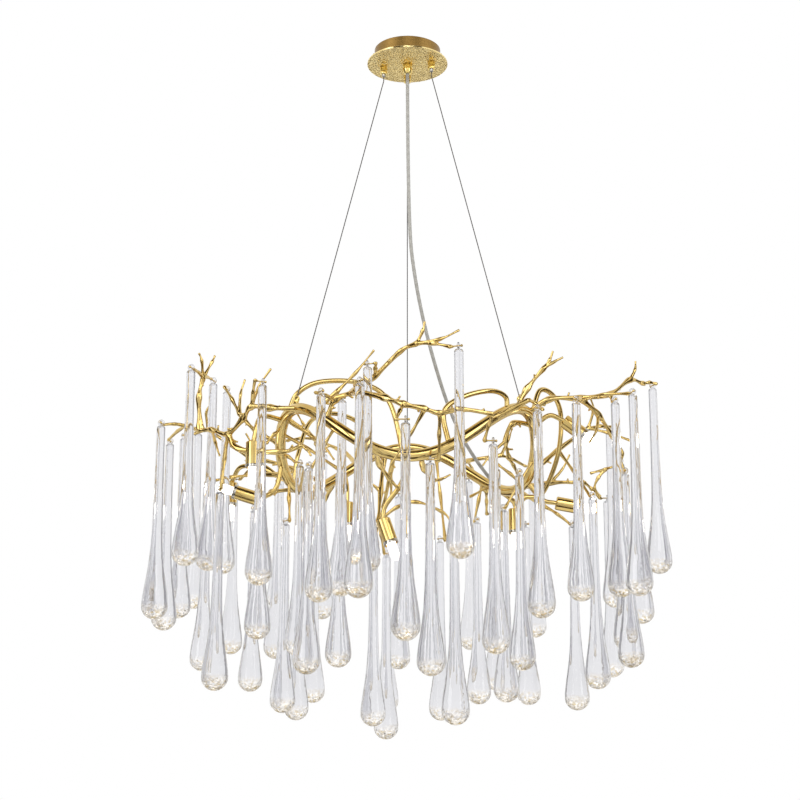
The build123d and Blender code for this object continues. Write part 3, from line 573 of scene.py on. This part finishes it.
# Vines and lamp arms: thin plated brass tubes that carry the lamp wires. Two arch out over the ring
# down to a lamp, two spring back to the ring, and short arms hold the other lamps.
def smooth_path(knots, per_run):
    """A smooth line through its knots (Catmull-Rom): each run is a cubic set by its neighbours."""
    knots = np.asarray(knots, float)
    padded = np.vstack([2 * knots[0] - knots[1], knots, 2 * knots[-1] - knots[-2]])
    part = np.linspace(0, 1, per_run, endpoint=False)[None, :, None]
    a, b, c, d = (padded[place:len(padded) - 3 + place, None, :] for place in range(4))
    line = 0.5 * (2 * b + (c - a) * part + (2 * a - 5 * b + 4 * c - d) * part ** 2
                  + (3 * b - a - 3 * c + d) * part ** 3)
    return np.vstack([line.reshape(-1, knots.shape[1]), knots[-1:]])


def thin_tube(knots):
    """One vine: a smooth line through its bends, thickened to a tube that thins a little at its end."""
    line = smooth_path(knots, per_run=16)
    return tube(line, np.linspace(VINE_RADIUS, VINE_END, len(line)), sides=20)


# Each lamp: where its sleeve starts, the way it points, and its arm's root on the ring and bend.
# The last two hang on the ends of vines.
LAMPS = [
    ((-232, -110, -690), DOWN, 198, (-222, -98, -650)),
    ((-236, 15, -757), (-0.95, 0, 0.3), 174, (-209, 15, -742)),
    ((237, 62, -756), (0.98, 0, -0.18), 18, (215, 62, -750)),
    ((240, -50, -645), (0.8, 0, -0.6), 346, (218, -50, -637)),
    ((-300, 195, -700), DOWN, 143, (-270, 175, -675)),
    ((-100, 140, -742), DOWN, 122, (-101, 148, -715)),
    ((-38, -100, -806), (0.32, -0.13, -0.94), None, None),
    ((172, 62, -765), DOWN, None, None),
]
VINE_RADIUS = 4.0
VINE_END = 0.92 * VINE_RADIUS
vine_left = [ring_line(204), (-169, -84, -610), (-135, -80, -591), (-74, -78, -592), (-31, -84, -620),
             (-11, -98, -693), (-8, -102, -745), (-34, -99, -785), (-38, -100, -806)]
vine_right = [ring_line(341), (204, -50, -598), (228, -33, -603), (241, -8, -632), (236, 14, -690),
              (214, 44, -743), (188, 58, -748), (172, 62, -765)]
hoop_front = [ring_line(287), (51, -190, -663), (79, -180, -638), (120, -160, -624), (144, -140, -628),
              ring_line(317)]
hoop_back = [ring_line(108), (-75, 190, -605), (-120, 160, -588), (-160, 115, -610), (-178, 85, -670),
             ring_line(158)]
arm_bends = [[ring_line(root), bend, start] for start, heading, root, bend in LAMPS if root]
TUBES = {"vine_left": [vine_left], "vine_right": [vine_right], "vine_hoops": [hoop_front, hoop_back],
         "lamp_arms": arm_bends}
for node, lines in TUBES.items():
    tubes = [thin_tube(knots) for knots in lines]
    make_piece(f"{node}_tube", tubes, drawn_brass, "polished_brass", "frame", node)

# Lamps: a turned brass sleeve closed at the back, with a nickel ring pressed over its mouth, a ceramic
# socket in it, and a capsule bulb plugged into that.
SPECKLE_SIZE = 1.5 * MM
FROST_SIZE = 4 * MM

# Glazed ceramic: warm white with a faint speckle
ceramic, tree, shader = new_material("glazed_ceramic")
place = add_node(tree, "ShaderNodeTexCoord", {})
speckle = add_node(tree, "ShaderNodeTexNoise", {
    "Vector": place.outputs["Object"], "Scale": 1 / SPECKLE_SIZE})
ceramic_tone = add_node(tree, "ShaderNodeMixRGB", {
    "Fac": speckle.outputs["Fac"], "Color1": linear("#E4E0D8"), "Color2": linear("#F1EEE8")})
set_inputs(shader, {"Base Color": ceramic_tone.outputs["Color"], "Roughness": 0.4})

# Lit frosted glass: it hides the filament and glows an even, faintly warm white
frosted, tree, shader = new_material("lit_frosted_glass")
place = add_node(tree, "ShaderNodeTexCoord", {})
frost = add_node(tree, "ShaderNodeTexNoise", {"Vector": place.outputs["Object"], "Scale": 1 / FROST_SIZE})
lit_tone = add_node(tree, "ShaderNodeMixRGB", {
    "Fac": frost.outputs["Fac"], "Color1": linear("#FFF3DC"), "Color2": linear("#FFFBF2")})
set_inputs(shader, {
    "Base Color": linear("#FFFFFF"), "Roughness": 0.5, "Emission Color": lit_tone.outputs["Color"],
    "Emission Strength": 6.0})

sleeve_profile = [(0, 0), (6.0, 0), (9.8, 0.2), (11.0, 1.6), (11.0, 39.4), (10.7, 39.7), (9.9, 39.7),
                  (9.8, 39.4), (9.8, 3.2), (0, 3.2)]
socket_profile = [(0, 3.4), (9.2, 3.4), (9.5, 3.8), (9.5, 22.0), (8.6, 23.0), (0, 23.2)]
bulb_profile = [(0, 23.4), (6.2, 23.4), (6.5, 24.0), (6.5, 56.0), (6.2, 60.0), (5.2, 63.0), (3.4, 64.8),
                (1.6, 65.4), (0, 65.5)]
mouth_profile = [(9.9, 34.8), (11.2, 34.8), (11.4, 35.1), (11.4, 39.7), (11.1, 40.0), (9.9, 40.0)]
seats = [(start, heading) for start, heading, root, bend in LAMPS]
mouth_rings = [wheel(mouth_profile, *seat, sides=40) for seat in seats]
make_piece("lamp_mouth_rings", mouth_rings, nickel, "nickel", "frame")
sleeves = [lathe(sleeve_profile, *seat, sides=40) for seat in seats]
make_piece("lamp_sleeves_turned", sleeves, drawn_brass, "polished_brass", "frame", "lamp_sleeves")
sockets = [lathe(socket_profile, *seat, sides=32) for seat in seats]
make_piece("lamp_sockets_ceramic", sockets, ceramic, "ceramic", "frame", "lamp_sockets")
bulbs = [lathe(bulb_profile, *seat, sides=32) for seat in seats]
make_piece("lamp_bulbs_lit", bulbs, frosted, "frosted_bulb", "frame", "lamp_bulbs")

# Glass drops: solid clear glass, drawn by hand to a slim stem with a round bulb at the foot, and a
# small glass loop at the top, which hangs on a twig's pin. Drops of one group swing on one line.
HOOKS = {
    "far_left": [(-380, -55, -650), (-380, 35, -660)],
    "far_left_back": [(-370, 115, -635), (-355, 175, -615)],
    "left_high": [(-328, -115, -577), (-307, -15, -573), (-293, 50, -571)],
    "left_low": [(-325, 85, -720), (-285, -70, -755)],
    "left_inner": [(-225, -60, -680), (-170, 10, -700)],
    "left_under": [(-255, 150, -750), (-195, 60, -785)],
    "back_left": [(-300, 250, -685), (-220, 205, -695)],
    "back_left_under": [(-180, 155, -795), (-160, 270, -765)],
    "back_left_high": [(-225, 300, -605), (-150, 330, -620)],
    "front_left_high": [(-215, -160, -610), (-100, -100, -620)],
    "front_left_inner": [(-145, -160, -735), (-105, -40, -720)],
    "front_left": [(-125, -226, -640), (-68, -290, -640)],
    "front_high": [(-59, -222, -599), (70, -270, -585)],
    "front_centre": [(-5, -300, -697)],
    "front": [(30, -230, -740), (120, -215, -710)],
    "front_under": [(65, -175, -805)],
    "front_right": [(185, -205, -660), (250, -130, -630)],
    "right_high": [(330, -160, -625), (315, -85, -620)],
    "right": [(335, -30, -720), (340, 45, -690)],
    "far_right": [(390, 10, -575), (340, 150, -615)],
    "far_right_back": [(375, 100, -645)],
    "right_under": [(290, 15, -750), (270, 120, -780)],
    "back_right_low": [(340, 205, -725), (200, 200, -770)],
    "back_right_high": [(220, 280, -655), (110, 300, -675)],
    "back_low": [(150, 250, -745), (-15, 250, -710)],
    "back_under": [(-35, 310, -780), (55, 200, -795)],
    "inner_back": [(-55, 95, -805), (-35, 160, -825)],
    "inner_right": [(115, 150, -770), (150, 15, -770)],
    "inner_right_high": [(145, 95, -690), (170, -50, -725)],
}
STREAK_WIDTH = 5 * MM
STREAK_STRETCH = 0.06
RIPPLE_SIZE = 9 * MM
SEED_SIZE = 3.4 * MM
SEED_RELIEF = 6.0

# Clear drawn glass: colourless, faintly grey. Slow waves from hand drawing bend what is seen through
# it into streaks along the stem, and air seeds show as dimples in the foot of the bulb. They are drawn
# coarser than they are so that they show. On some seeds in the foot, painted gold and white glints
# stand in for reflections: the gold is painted into the glass colour, and the white is a faint painted glow.
# The attribute foot is 1 at the foot and 0 above it.
crystal, tree, shader = new_material("clear_drawn_glass")
place = add_node(tree, "ShaderNodeTexCoord", {})
draw = add_node(tree, "ShaderNodeMapping", {
    "Vector": place.outputs["Object"], "Scale": (1.0, 1.0, STREAK_STRETCH)})
streaks = add_node(tree, "ShaderNodeTexNoise", {
    "Vector": draw.outputs["Vector"], "Scale": 1 / STREAK_WIDTH, "Detail": 1.0})
ripples = add_node(tree, "ShaderNodeTexNoise", {
    "Vector": place.outputs["Object"], "Scale": 1 / RIPPLE_SIZE, "Detail": 2.0})
foot = add_node(tree, "ShaderNodeAttribute", {}, attribute_name="foot")
seed_and_glint_cells = add_node(tree, "ShaderNodeTexVoronoi", {"Vector": place.outputs["Object"], "Scale": 1 / SEED_SIZE})
sunk = add_node(tree, "ShaderNodeMath", {0: seed_and_glint_cells.outputs["Distance"], 1: foot.outputs["Fac"]},
                operation="MULTIPLY")
skin = add_node(tree, "ShaderNodeMath", {0: streaks.outputs["Fac"], 1: ripples.outputs["Fac"]},
                operation="ADD")
seeded = add_node(tree, "ShaderNodeMath", {
    0: sunk.outputs["Value"], 1: SEED_RELIEF, 2: skin.outputs["Value"]}, operation="MULTIPLY_ADD")
waves = add_node(tree, "ShaderNodeBump", {
    "Height": seeded.outputs["Value"], "Strength": 0.45, "Distance": 0.8 * MM})
# Painted reflection: on some seeds in the foot, the glass colour turns warm gold as a painted gold glint.
painted_gold_glint_cells = add_node(tree, "ShaderNodeMapRange", {
    "Value": seed_and_glint_cells.outputs["Color"], "From Min": 0.45, "From Max": 0.85})
painted_gold_glint = add_node(tree, "ShaderNodeMath", {0: painted_gold_glint_cells.outputs["Result"], 1: foot.outputs["Fac"]},
                operation="MULTIPLY")
glass_tone_and_painted_glint = add_node(tree, "ShaderNodeMixRGB", {
    "Fac": painted_gold_glint.outputs["Value"], "Color1": linear("#E8E8EB"), "Color2": linear("#E0C586")})
# Painted glints: some seeds in the foot glow a faint warm white by emission, though no lamp is there.
painted_glint_cells = add_node(tree, "ShaderNodeMapRange", {
    "Value": seed_and_glint_cells.outputs["Color"], "From Min": 0.45, "From Max": 0.3})
painted_glint_mask = add_node(tree, "ShaderNodeMath", {0: painted_glint_cells.outputs["Result"], 1: foot.outputs["Fac"]},
                  operation="MULTIPLY")
painted_glint_tone = add_node(tree, "ShaderNodeMixRGB", {
    "Fac": painted_glint_mask.outputs["Value"], "Color1": linear("#000000"), "Color2": linear("#FFF3DA")})
# The glass's emission is only the painted glow of these glints.
set_inputs(shader, {
    "Base Color": glass_tone_and_painted_glint.outputs["Color"], "Roughness": 0.0, "IOR": 1.5, "Transmission Weight": 1.0,
    "Emission Color": painted_glint_tone.outputs["Color"], "Emission Strength": 0.3,
    "Normal": waves.outputs["Normal"]})

# Half widths of a drop and how far each is below its pin
DROP_PROFILE = [(2.8, 4.6), (5.0, 5.4), (6.2, 7.4), (6.6, 11), (6.6, 40), (6.9, 90), (7.7, 147), (8.7, 181),
                (9.9, 199), (11.4, 216), (13.7, 233), (16.4, 250), (18.5, 264), (19.8, 277), (19.3, 285),
                (16.7, 291), (12.4, 295.6), (7.8, 298.4), (3.6, 299.7)]
DROP_TOP = 4.4
DROP_LENGTH = 300
DROP_SIDES = 40
FOOT_START = 276.0
FOOT_RUN = 16.0
LOOP_RADIUS = 3.9
LOOP_WIRE = 1.45
LOOP_STEPS = 32
drop_curve = np.vstack([(0, DROP_TOP), smooth_path(DROP_PROFILE, per_run=5), (0, DROP_LENGTH)])
foot_share = np.clip((drop_curve[:, 1] - FOOT_START) / FOOT_RUN, 0, 1)
foot_weights = np.concatenate([np.repeat(foot_share[1:-1], DROP_SIDES), foot_share[:1], foot_share[-1:]])
loop_turns = np.linspace(0, 2 * np.pi, LOOP_STEPS, endpoint=False)[:, None]


def pin_direction(hooks):
    """The level way that a group's pins point: along the group, or along the rim for one drop."""
    ends = np.asarray(hooks, float)
    line = ends[-1] - ends[0] if len(hooks) > 1 else np.array([-ends[0][1], ends[0][0], 0])
    return unit(line * (1, 1, 0))


for group, hooks in HOOKS.items():
    across = np.cross(UP, pin_direction(hooks))
    shells = []
    weights = []
    for hook in hooks:
        shells.append(lathe(drop_curve, hook, DOWN, DROP_SIDES))
        loop = (np.asarray(hook, float) + LOOP_RADIUS * np.cos(loop_turns) * across
                + LOOP_RADIUS * np.sin(loop_turns) * UP)
        shells.append(tube(loop, np.full(LOOP_STEPS, LOOP_WIRE), sides=12, closed=True))
        weights += [foot_weights, np.zeros(len(shells[-1][0]))]
    drops = make_piece(f"drops_{group}_glass", shells, crystal, "clear_glass", f"drops_{group}",
                       f"glass_drops_{group}")
    foot_map = drops.data.attributes.new("foot", "FLOAT", "POINT")
    foot_map.data.foreach_set("value", np.concatenate(weights))

# Twigs: forked brass branches cast by lost wax, knobbly like real ones, plated bright gold and
# brazed to the ring. Stems end in blunt tips, and side shoots end in the pins that carry the drops.
STEM_ROOT = 5.2
STEM_END = 3.6
LIMB_STEPS = 14
LIMB_SLIM = 0.80
KNOT_SWELL = 0.36
KNOT_WIDTH = 0.2
RIPPLE_HEIGHT = 0.10
TWO_LOBES = 0.07
THREE_LOBES = 0.06
LOBE_WANDER = 3
SHOOT_ROOT = 3.4
SHOOT_END = 2.3
SHOOT_RUN = 9.0
SHOOT_LIFT = 2.0
KNEE_RUN = 3.0
TIP_POINT = 1.7
BUD_ROOT = 2.9
BUD_END = 1.7
BUD_PLACE = (0.45, 0.75)
BUD_REACH = (6, 10)
BUD_LEAN = 4
PIN_RADIUS = 1.25
PIN_REACH = 3.5
PIN_HOLD = 1
BUTTON_PROFILE = [(0, 0), (1.6, 0), (2.2, 0.6), (2.2, 1.8), (1.4, 2.6), (0, 2.8)]
VOXEL = 0.9 * MM

# Cast, plated brass: bright gold with a lumpy skin that breaks its highlights into short glints
cast_brass = plated_brass("cast_plated_brass", "#EFD694", "#C09C4C", 0.12, 7, 0.14)
limbs = []
knobs = np.random.default_rng(3)


def limb(knots, start_radius, end_radius, lumps):
    """A cast limb: a smooth line through its knots, thinning along it, thicker at every knot and
    in slow ripples between them, and a little out of round."""
    knots = np.asarray(knots, float)
    line = smooth_path(knots, LIMB_STEPS)
    place = np.arange(len(line)) / LIMB_STEPS
    taper = np.linspace(start_radius, end_radius, len(line))
    swell = np.exp(-((place - np.round(place)) / KNOT_WIDTH) ** 2)
    ripple = np.sin(place * knobs.uniform(5, 8) + knobs.uniform(0, 6))
    radii = taper * (LIMB_SLIM + lumps * (KNOT_SWELL * swell + RIPPLE_HEIGHT * ripple))
    phase = knobs.uniform(0, 6)

    def out_of_round(turn, part):
        """Two and three soft lobes that wander round the limb along its length."""
        wander = part * len(knots) * LOBE_WANDER + phase
        lobes = TWO_LOBES * np.cos(2 * turn + wander) + THREE_LOBES * np.cos(3 * turn - 2 * wander)
        return 1 + lumps * lobes

    limbs.append(tube(line, radii, sides=14, shape=out_of_round))


def stem(root, *points):
    """A main stem from the ring or another stem, with a bud on every run between its knots.
    Its knots are returned for what grows on it."""
    knots = [np.asarray(root, float)] + [np.asarray(point, float) for point in points]
    limb(knots, STEM_ROOT, STEM_END, lumps=1.0)
    for before, knot in zip(knots, knots[1:]):
        lean = unit(np.cross(knot - before, knobs.normal(size=3)))
        start = before + (knot - before) * knobs.uniform(*BUD_PLACE)
        bud = lean * knobs.uniform(*BUD_REACH) + unit(knot - before) * BUD_LEAN
        limb([start, start + bud], BUD_ROOT, BUD_END, lumps=0.5)
    return knots


def bare_tip(start, bend, point):
    """A tapered shoot that carries nothing."""
    limb([start, bend, point], SHOOT_ROOT, TIP_POINT, lumps=0.9)


def hang(start, group, *numbers):
    """A shoot from a stem to each of these drops of a group: it rises to half way, bends level at
    its knee and ends in a pin with a button."""
    pin = pin_direction(HOOKS[group])
    for number in numbers:
        hook = np.asarray(HOOKS[group][number], float)
        side = pin if (start - hook) @ pin > 0 else -pin
        knee = hook + side * (PIN_REACH + SHOOT_RUN)
        rise = (start + knee) / 2 + (0, 0, SHOOT_LIFT)
        limb([start, rise, knee, knee - side * KNEE_RUN], SHOOT_ROOT, SHOOT_END, lumps=0.9)
        pin_line = np.linspace(knee, hook - side * (PIN_REACH + PIN_HOLD), 6)
        limbs.append(tube(pin_line, np.full(len(pin_line), PIN_RADIUS), sides=12))
        limbs.append(lathe(BUTTON_PROFILE, hook - side * PIN_REACH, -side, sides=16))


def casting(node):
    """The limbs so far as one casting: the shells are melted together and smoothed over."""
    piece = make_piece(f"{node}_cast", limbs, cast_brass, "polished_brass", "frame", node)
    melt = piece.modifiers.new("melt", "REMESH")
    melt.mode = "VOXEL"
    melt.voxel_size = VOXEL
    melt.use_smooth_shade = True
    ease = piece.modifiers.new("ease", "SMOOTH")
    ease.factor = 0.5
    ease.iterations = 3
    limbs.clear()


# Twigs at the front: cast brass, brazed to the ring around its front dip. The long one rises over
# the ring, and its fork crosses in front of the dip with the drops nearest to the eye.
rising = stem(ring_line(233), (-108, -172, -641), (-80, -190, -632), (-49, -205, -613), (-12, -225, -581),
              (12, -240, -573))
hang(rising[1], "front_left", 0)
hang(rising[3], "front_high", 0)
hang(rising[5], "front_high", 1)
bare_tip(rising[5], (20, -244, -555), (23, -245, -542))
bare_tip(rising[5], (44, -258, -572), (72, -256, -558))
crossing = stem(rising[2], (-74, -235, -642), (-33, -265, -659), (-7, -282, -672), (22, -272, -676),
                (43, -262, -680), (76, -250, -672), (119, -232, -675))
hang(crossing[1], "front_left", 1)
hang(crossing[3], "front_centre", 0)
hang(crossing[5], "front", 0)
hang(crossing[7], "front", 1)
short = stem(ring_line(225), (-106, -150, -623))
bare_tip(short[1], (-79, -148, -594), (-51, -146, -558))
hang(short[1], "front_left_high", 1)
hang(ring_line(238), "front_left_inner", 0)
hang(ring_line(291), "front_under", 0)
bare_tip(crossing[4], (4, -257, -706), (-26, -242, -750))
curling = stem(ring_line(256), (-42, -165, -735), (-28, -140, -752))
bare_tip(curling[2], (-18, -134, -762), (-6, -128, -772))
stooping = stem(ring_line(275), (22, -168, -742), (38, -145, -755))
bare_tip(stooping[2], (48, -138, -752), (62, -131, -744))
casting("twigs_front")

# Twigs at the left: cast brass, brazed to the ring's left crest and side. One reaches out level and
# forks upright at its end, and a fine one trails back under it towards the front.
reaching = stem(ring_line(214), (-207, -122, -641), (-234, -132, -642), (-247, -118, -656),
                (-272, -95, -675), (-299, -75, -665), (-319, -60, -662), (-345, -35, -650))
hang(reaching[2], "front_left_high", 0)
bare_tip(reaching[2], (-222, -138, -611), (-205, -140, -585))
hang(reaching[4], "left_low", 1)
hang(reaching[7], "far_left", 0, 1)
upright_fork = stem(reaching[6], (-322, -64, -612), (-317, -62, -580))
hang(upright_fork[2], "left_high", 0, 1)
bare_tip(upright_fork[2], (-318, -75, -556), (-322, -80, -545))
bare_tip(upright_fork[2], (-305, -52, -552), (-301, -50, -541))
middle = stem(ring_line(184), (-240, 5, -650), (-268, 15, -620))
hang(middle[2], "left_high", 2)
bare_tip(middle[2], (-268, 25, -585), (-262, 30, -560))
hang(ring_line(193), "left_inner", 0)
hang(ring_line(179), "left_inner", 1)
hang(ring_line(190), "front_left_inner", 1)
outer = stem(ring_line(167), (-250, 75, -708))
hang(outer[1], "left_low", 0)
bare_tip(reaching[5], (-290, -98, -690), (-282, -108, -712))
drooping = stem(ring_line(200), (-152, -60, -668))
bare_tip(drooping[1], (-128, -72, -690), (-112, -78, -712))
trailing = stem(reaching[4], (-254, -105, -700), (-190, -125, -709), (-157, -138, -702))
bare_tip(trailing[3], (-150, -140, -708), (-143, -141, -718))
casting("twigs_left")

# Twigs at the back left: cast brass, brazed to the ring's dip there. They spread and arch outwards
# at three heights, so that the drops hang in tiers.
hang(ring_line(163), "left_under", 1)
low = stem(ring_line(153), (-225, 118, -728))
hang(low[1], "left_under", 0)
spread = stem(ring_line(149), (-230, 135, -690), (-295, 145, -645), (-335, 148, -618))
hang(spread[3], "far_left_back", 0, 1)
bare_tip(spread[3], (-338, 140, -592), (-332, 135, -578))
arching = stem(ring_line(133), (-190, 180, -680), (-250, 222, -655))
hang(arching[1], "back_left", 1)
hang(arching[2], "back_left", 0)
bare_tip(arching[2], (-268, 228, -628), (-280, 225, -608))
hang(ring_line(138), "back_left_under", 0)
dropping = stem(ring_line(127), (-140, 215, -725))
hang(dropping[1], "back_left_under", 1)
high = stem(ring_line(115), (-110, 235, -640), (-165, 285, -605))
hang(high[2], "back_left_high", 0, 1)
bare_tip(high[2], (-185, 282, -578), (-195, 275, -562))
casting("twigs_back_left")

# Twigs at the back: cast brass, brazed to the ring's rear crest. One falls inwards and carries a
# fine one that runs across inside the ring, and the others fan out behind.
inward = stem(ring_line(101), (-45, 165, -720), (-48, 135, -775))
hang(inward[2], "inner_back", 0, 1)
falling = stem(ring_line(96), (-28, 238, -670), (-42, 282, -730))
hang(falling[1], "back_low", 1)
hang(falling[2], "back_under", 0)
hang(ring_line(76), "back_under", 1)
wide = stem(ring_line(64), (105, 235, -655), (165, 262, -640))
hang(wide[1], "back_right_high", 1)
hang(wide[2], "back_right_high", 0)
bare_tip(wide[2], (178, 265, -612), (185, 258, -592))
outside = stem(ring_line(57), (135, 210, -712))
hang(outside[1], "back_low", 0)
hang(ring_line(51), "inner_right", 0)
bare_tip(outside[1], (140, 228, -690), (148, 234, -666))
bare_tip(inward[1], (-68, 158, -700), (-84, 150, -678))
running = [inward[2], (-17, 130, -752), (15, 120, -745), (56, 115, -762), (72, 112, -779)]
limb(running, STEM_END, SHOOT_END, lumps=1.0)
casting("twigs_back")

# Twigs at the back right: cast brass, brazed to the ring's dip there. They reach out in two tiers,
# and one fine one turns back inside the ring.
near = stem(ring_line(46), (178, 175, -735))
hang(near[1], "back_right_low", 1)
far = stem(ring_line(36), (240, 170, -705), (300, 192, -700))
hang(far[2], "back_right_low", 0)
bare_tip(far[1], (262, 178, -680), (275, 175, -655))
lower = stem(ring_line(28), (225, 140, -748))
hang(lower[1], "right_under", 1)
hang(ring_line(22), "inner_right_high", 0)
lifted = stem(ring_line(13), (245, 85, -665), (300, 115, -622))
hang(lifted[1], "right_under", 0)
hang(lifted[2], "far_right", 1)
hang(lifted[2], "far_right_back", 0)
bare_tip(lifted[2], (308, 108, -592), (302, 100, -572))
hang(ring_line(4), "inner_right", 1)
limb([ring_line(36), (134, 110, -723), (101, 85, -742)], STEM_END, SHOOT_END, lumps=1.0)
casting("twigs_back_right")

# Twigs at the right: cast brass, brazed to the ring's right crest. One runs out level, with a branch
# that curls back under itself, and a bare one points up over the ring.
level = stem(ring_line(335), (215, -98, -622), (261, -95, -620), (311, -62, -606), (347, -35, -577),
             (372, -12, -577))
hang(level[2], "front_right", 1)
hang(level[2], "right_high", 0)
hang(level[3], "right_high", 1)
hang(level[5], "far_right", 0)
bare_tip(level[4], (356, -32, -560), (358, -30, -545))
branching = stem(level[2], (291, -70, -640), (318, -28, -665))
hang(branching[2], "right", 0, 1)
front = stem(ring_line(308), (176, -170, -640))
hang(front[1], "front_right", 0)
bare = stem(ring_line(324), (180, -112, -608), (205, -116, -578))
bare_tip(bare[2], (214, -117, -565), (219, -118, -552))
bare_tip(bare[2], (222, -118, -568), (234, -119, -562))
inner = stem(ring_line(345), (160, -74, -655), (149, -66, -680), (155, -50, -705))
hang(inner[3], "inner_right_high", 1)
bare_tip(inner[2], (128, -78, -700), (112, -84, -722))
bare_tip(branching[1], (285, -90, -668), (272, -100, -690))
curl = [branching[2], (334, -14, -690), (327, -8, -706), (308, -12, -714), (283, -18, -722)]
limb(curl, STEM_END, SHOOT_END, lumps=1.0)
limb([curl[3], (296, -14, -728), (290, -12, -744), (300, -8, -757)], SHOOT_ROOT, TIP_POINT, lumps=0.9)
casting("twigs_right")

# Floor: plain and pale, far below the chandelier. Matt paint, so it shows no reflection, and the
# glass shows the studio rather than its edge.
FLOOR_HEIGHT = -2.6
FLOOR_HALF = 30.0
pale, _, shader = new_material("pale_floor")
set_inputs(shader, {"Base Color": linear("#F0F3F8"), "Roughness": 0.8})
floor_corners = [(x * FLOOR_HALF, y * FLOOR_HALF, FLOOR_HEIGHT)
                 for x, y in ((-1, -1), (1, -1), (1, 1), (-1, 1))]
floor_mesh = bpy.data.meshes.new("floor")
floor_mesh.from_pydata(floor_corners, [], [(0, 1, 2, 3)])
floor_mesh.materials.append(pale)
floor = bpy.data.objects.new("floor", floor_mesh)
floor.visible_transmission = False
scene.collection.objects.link(floor)
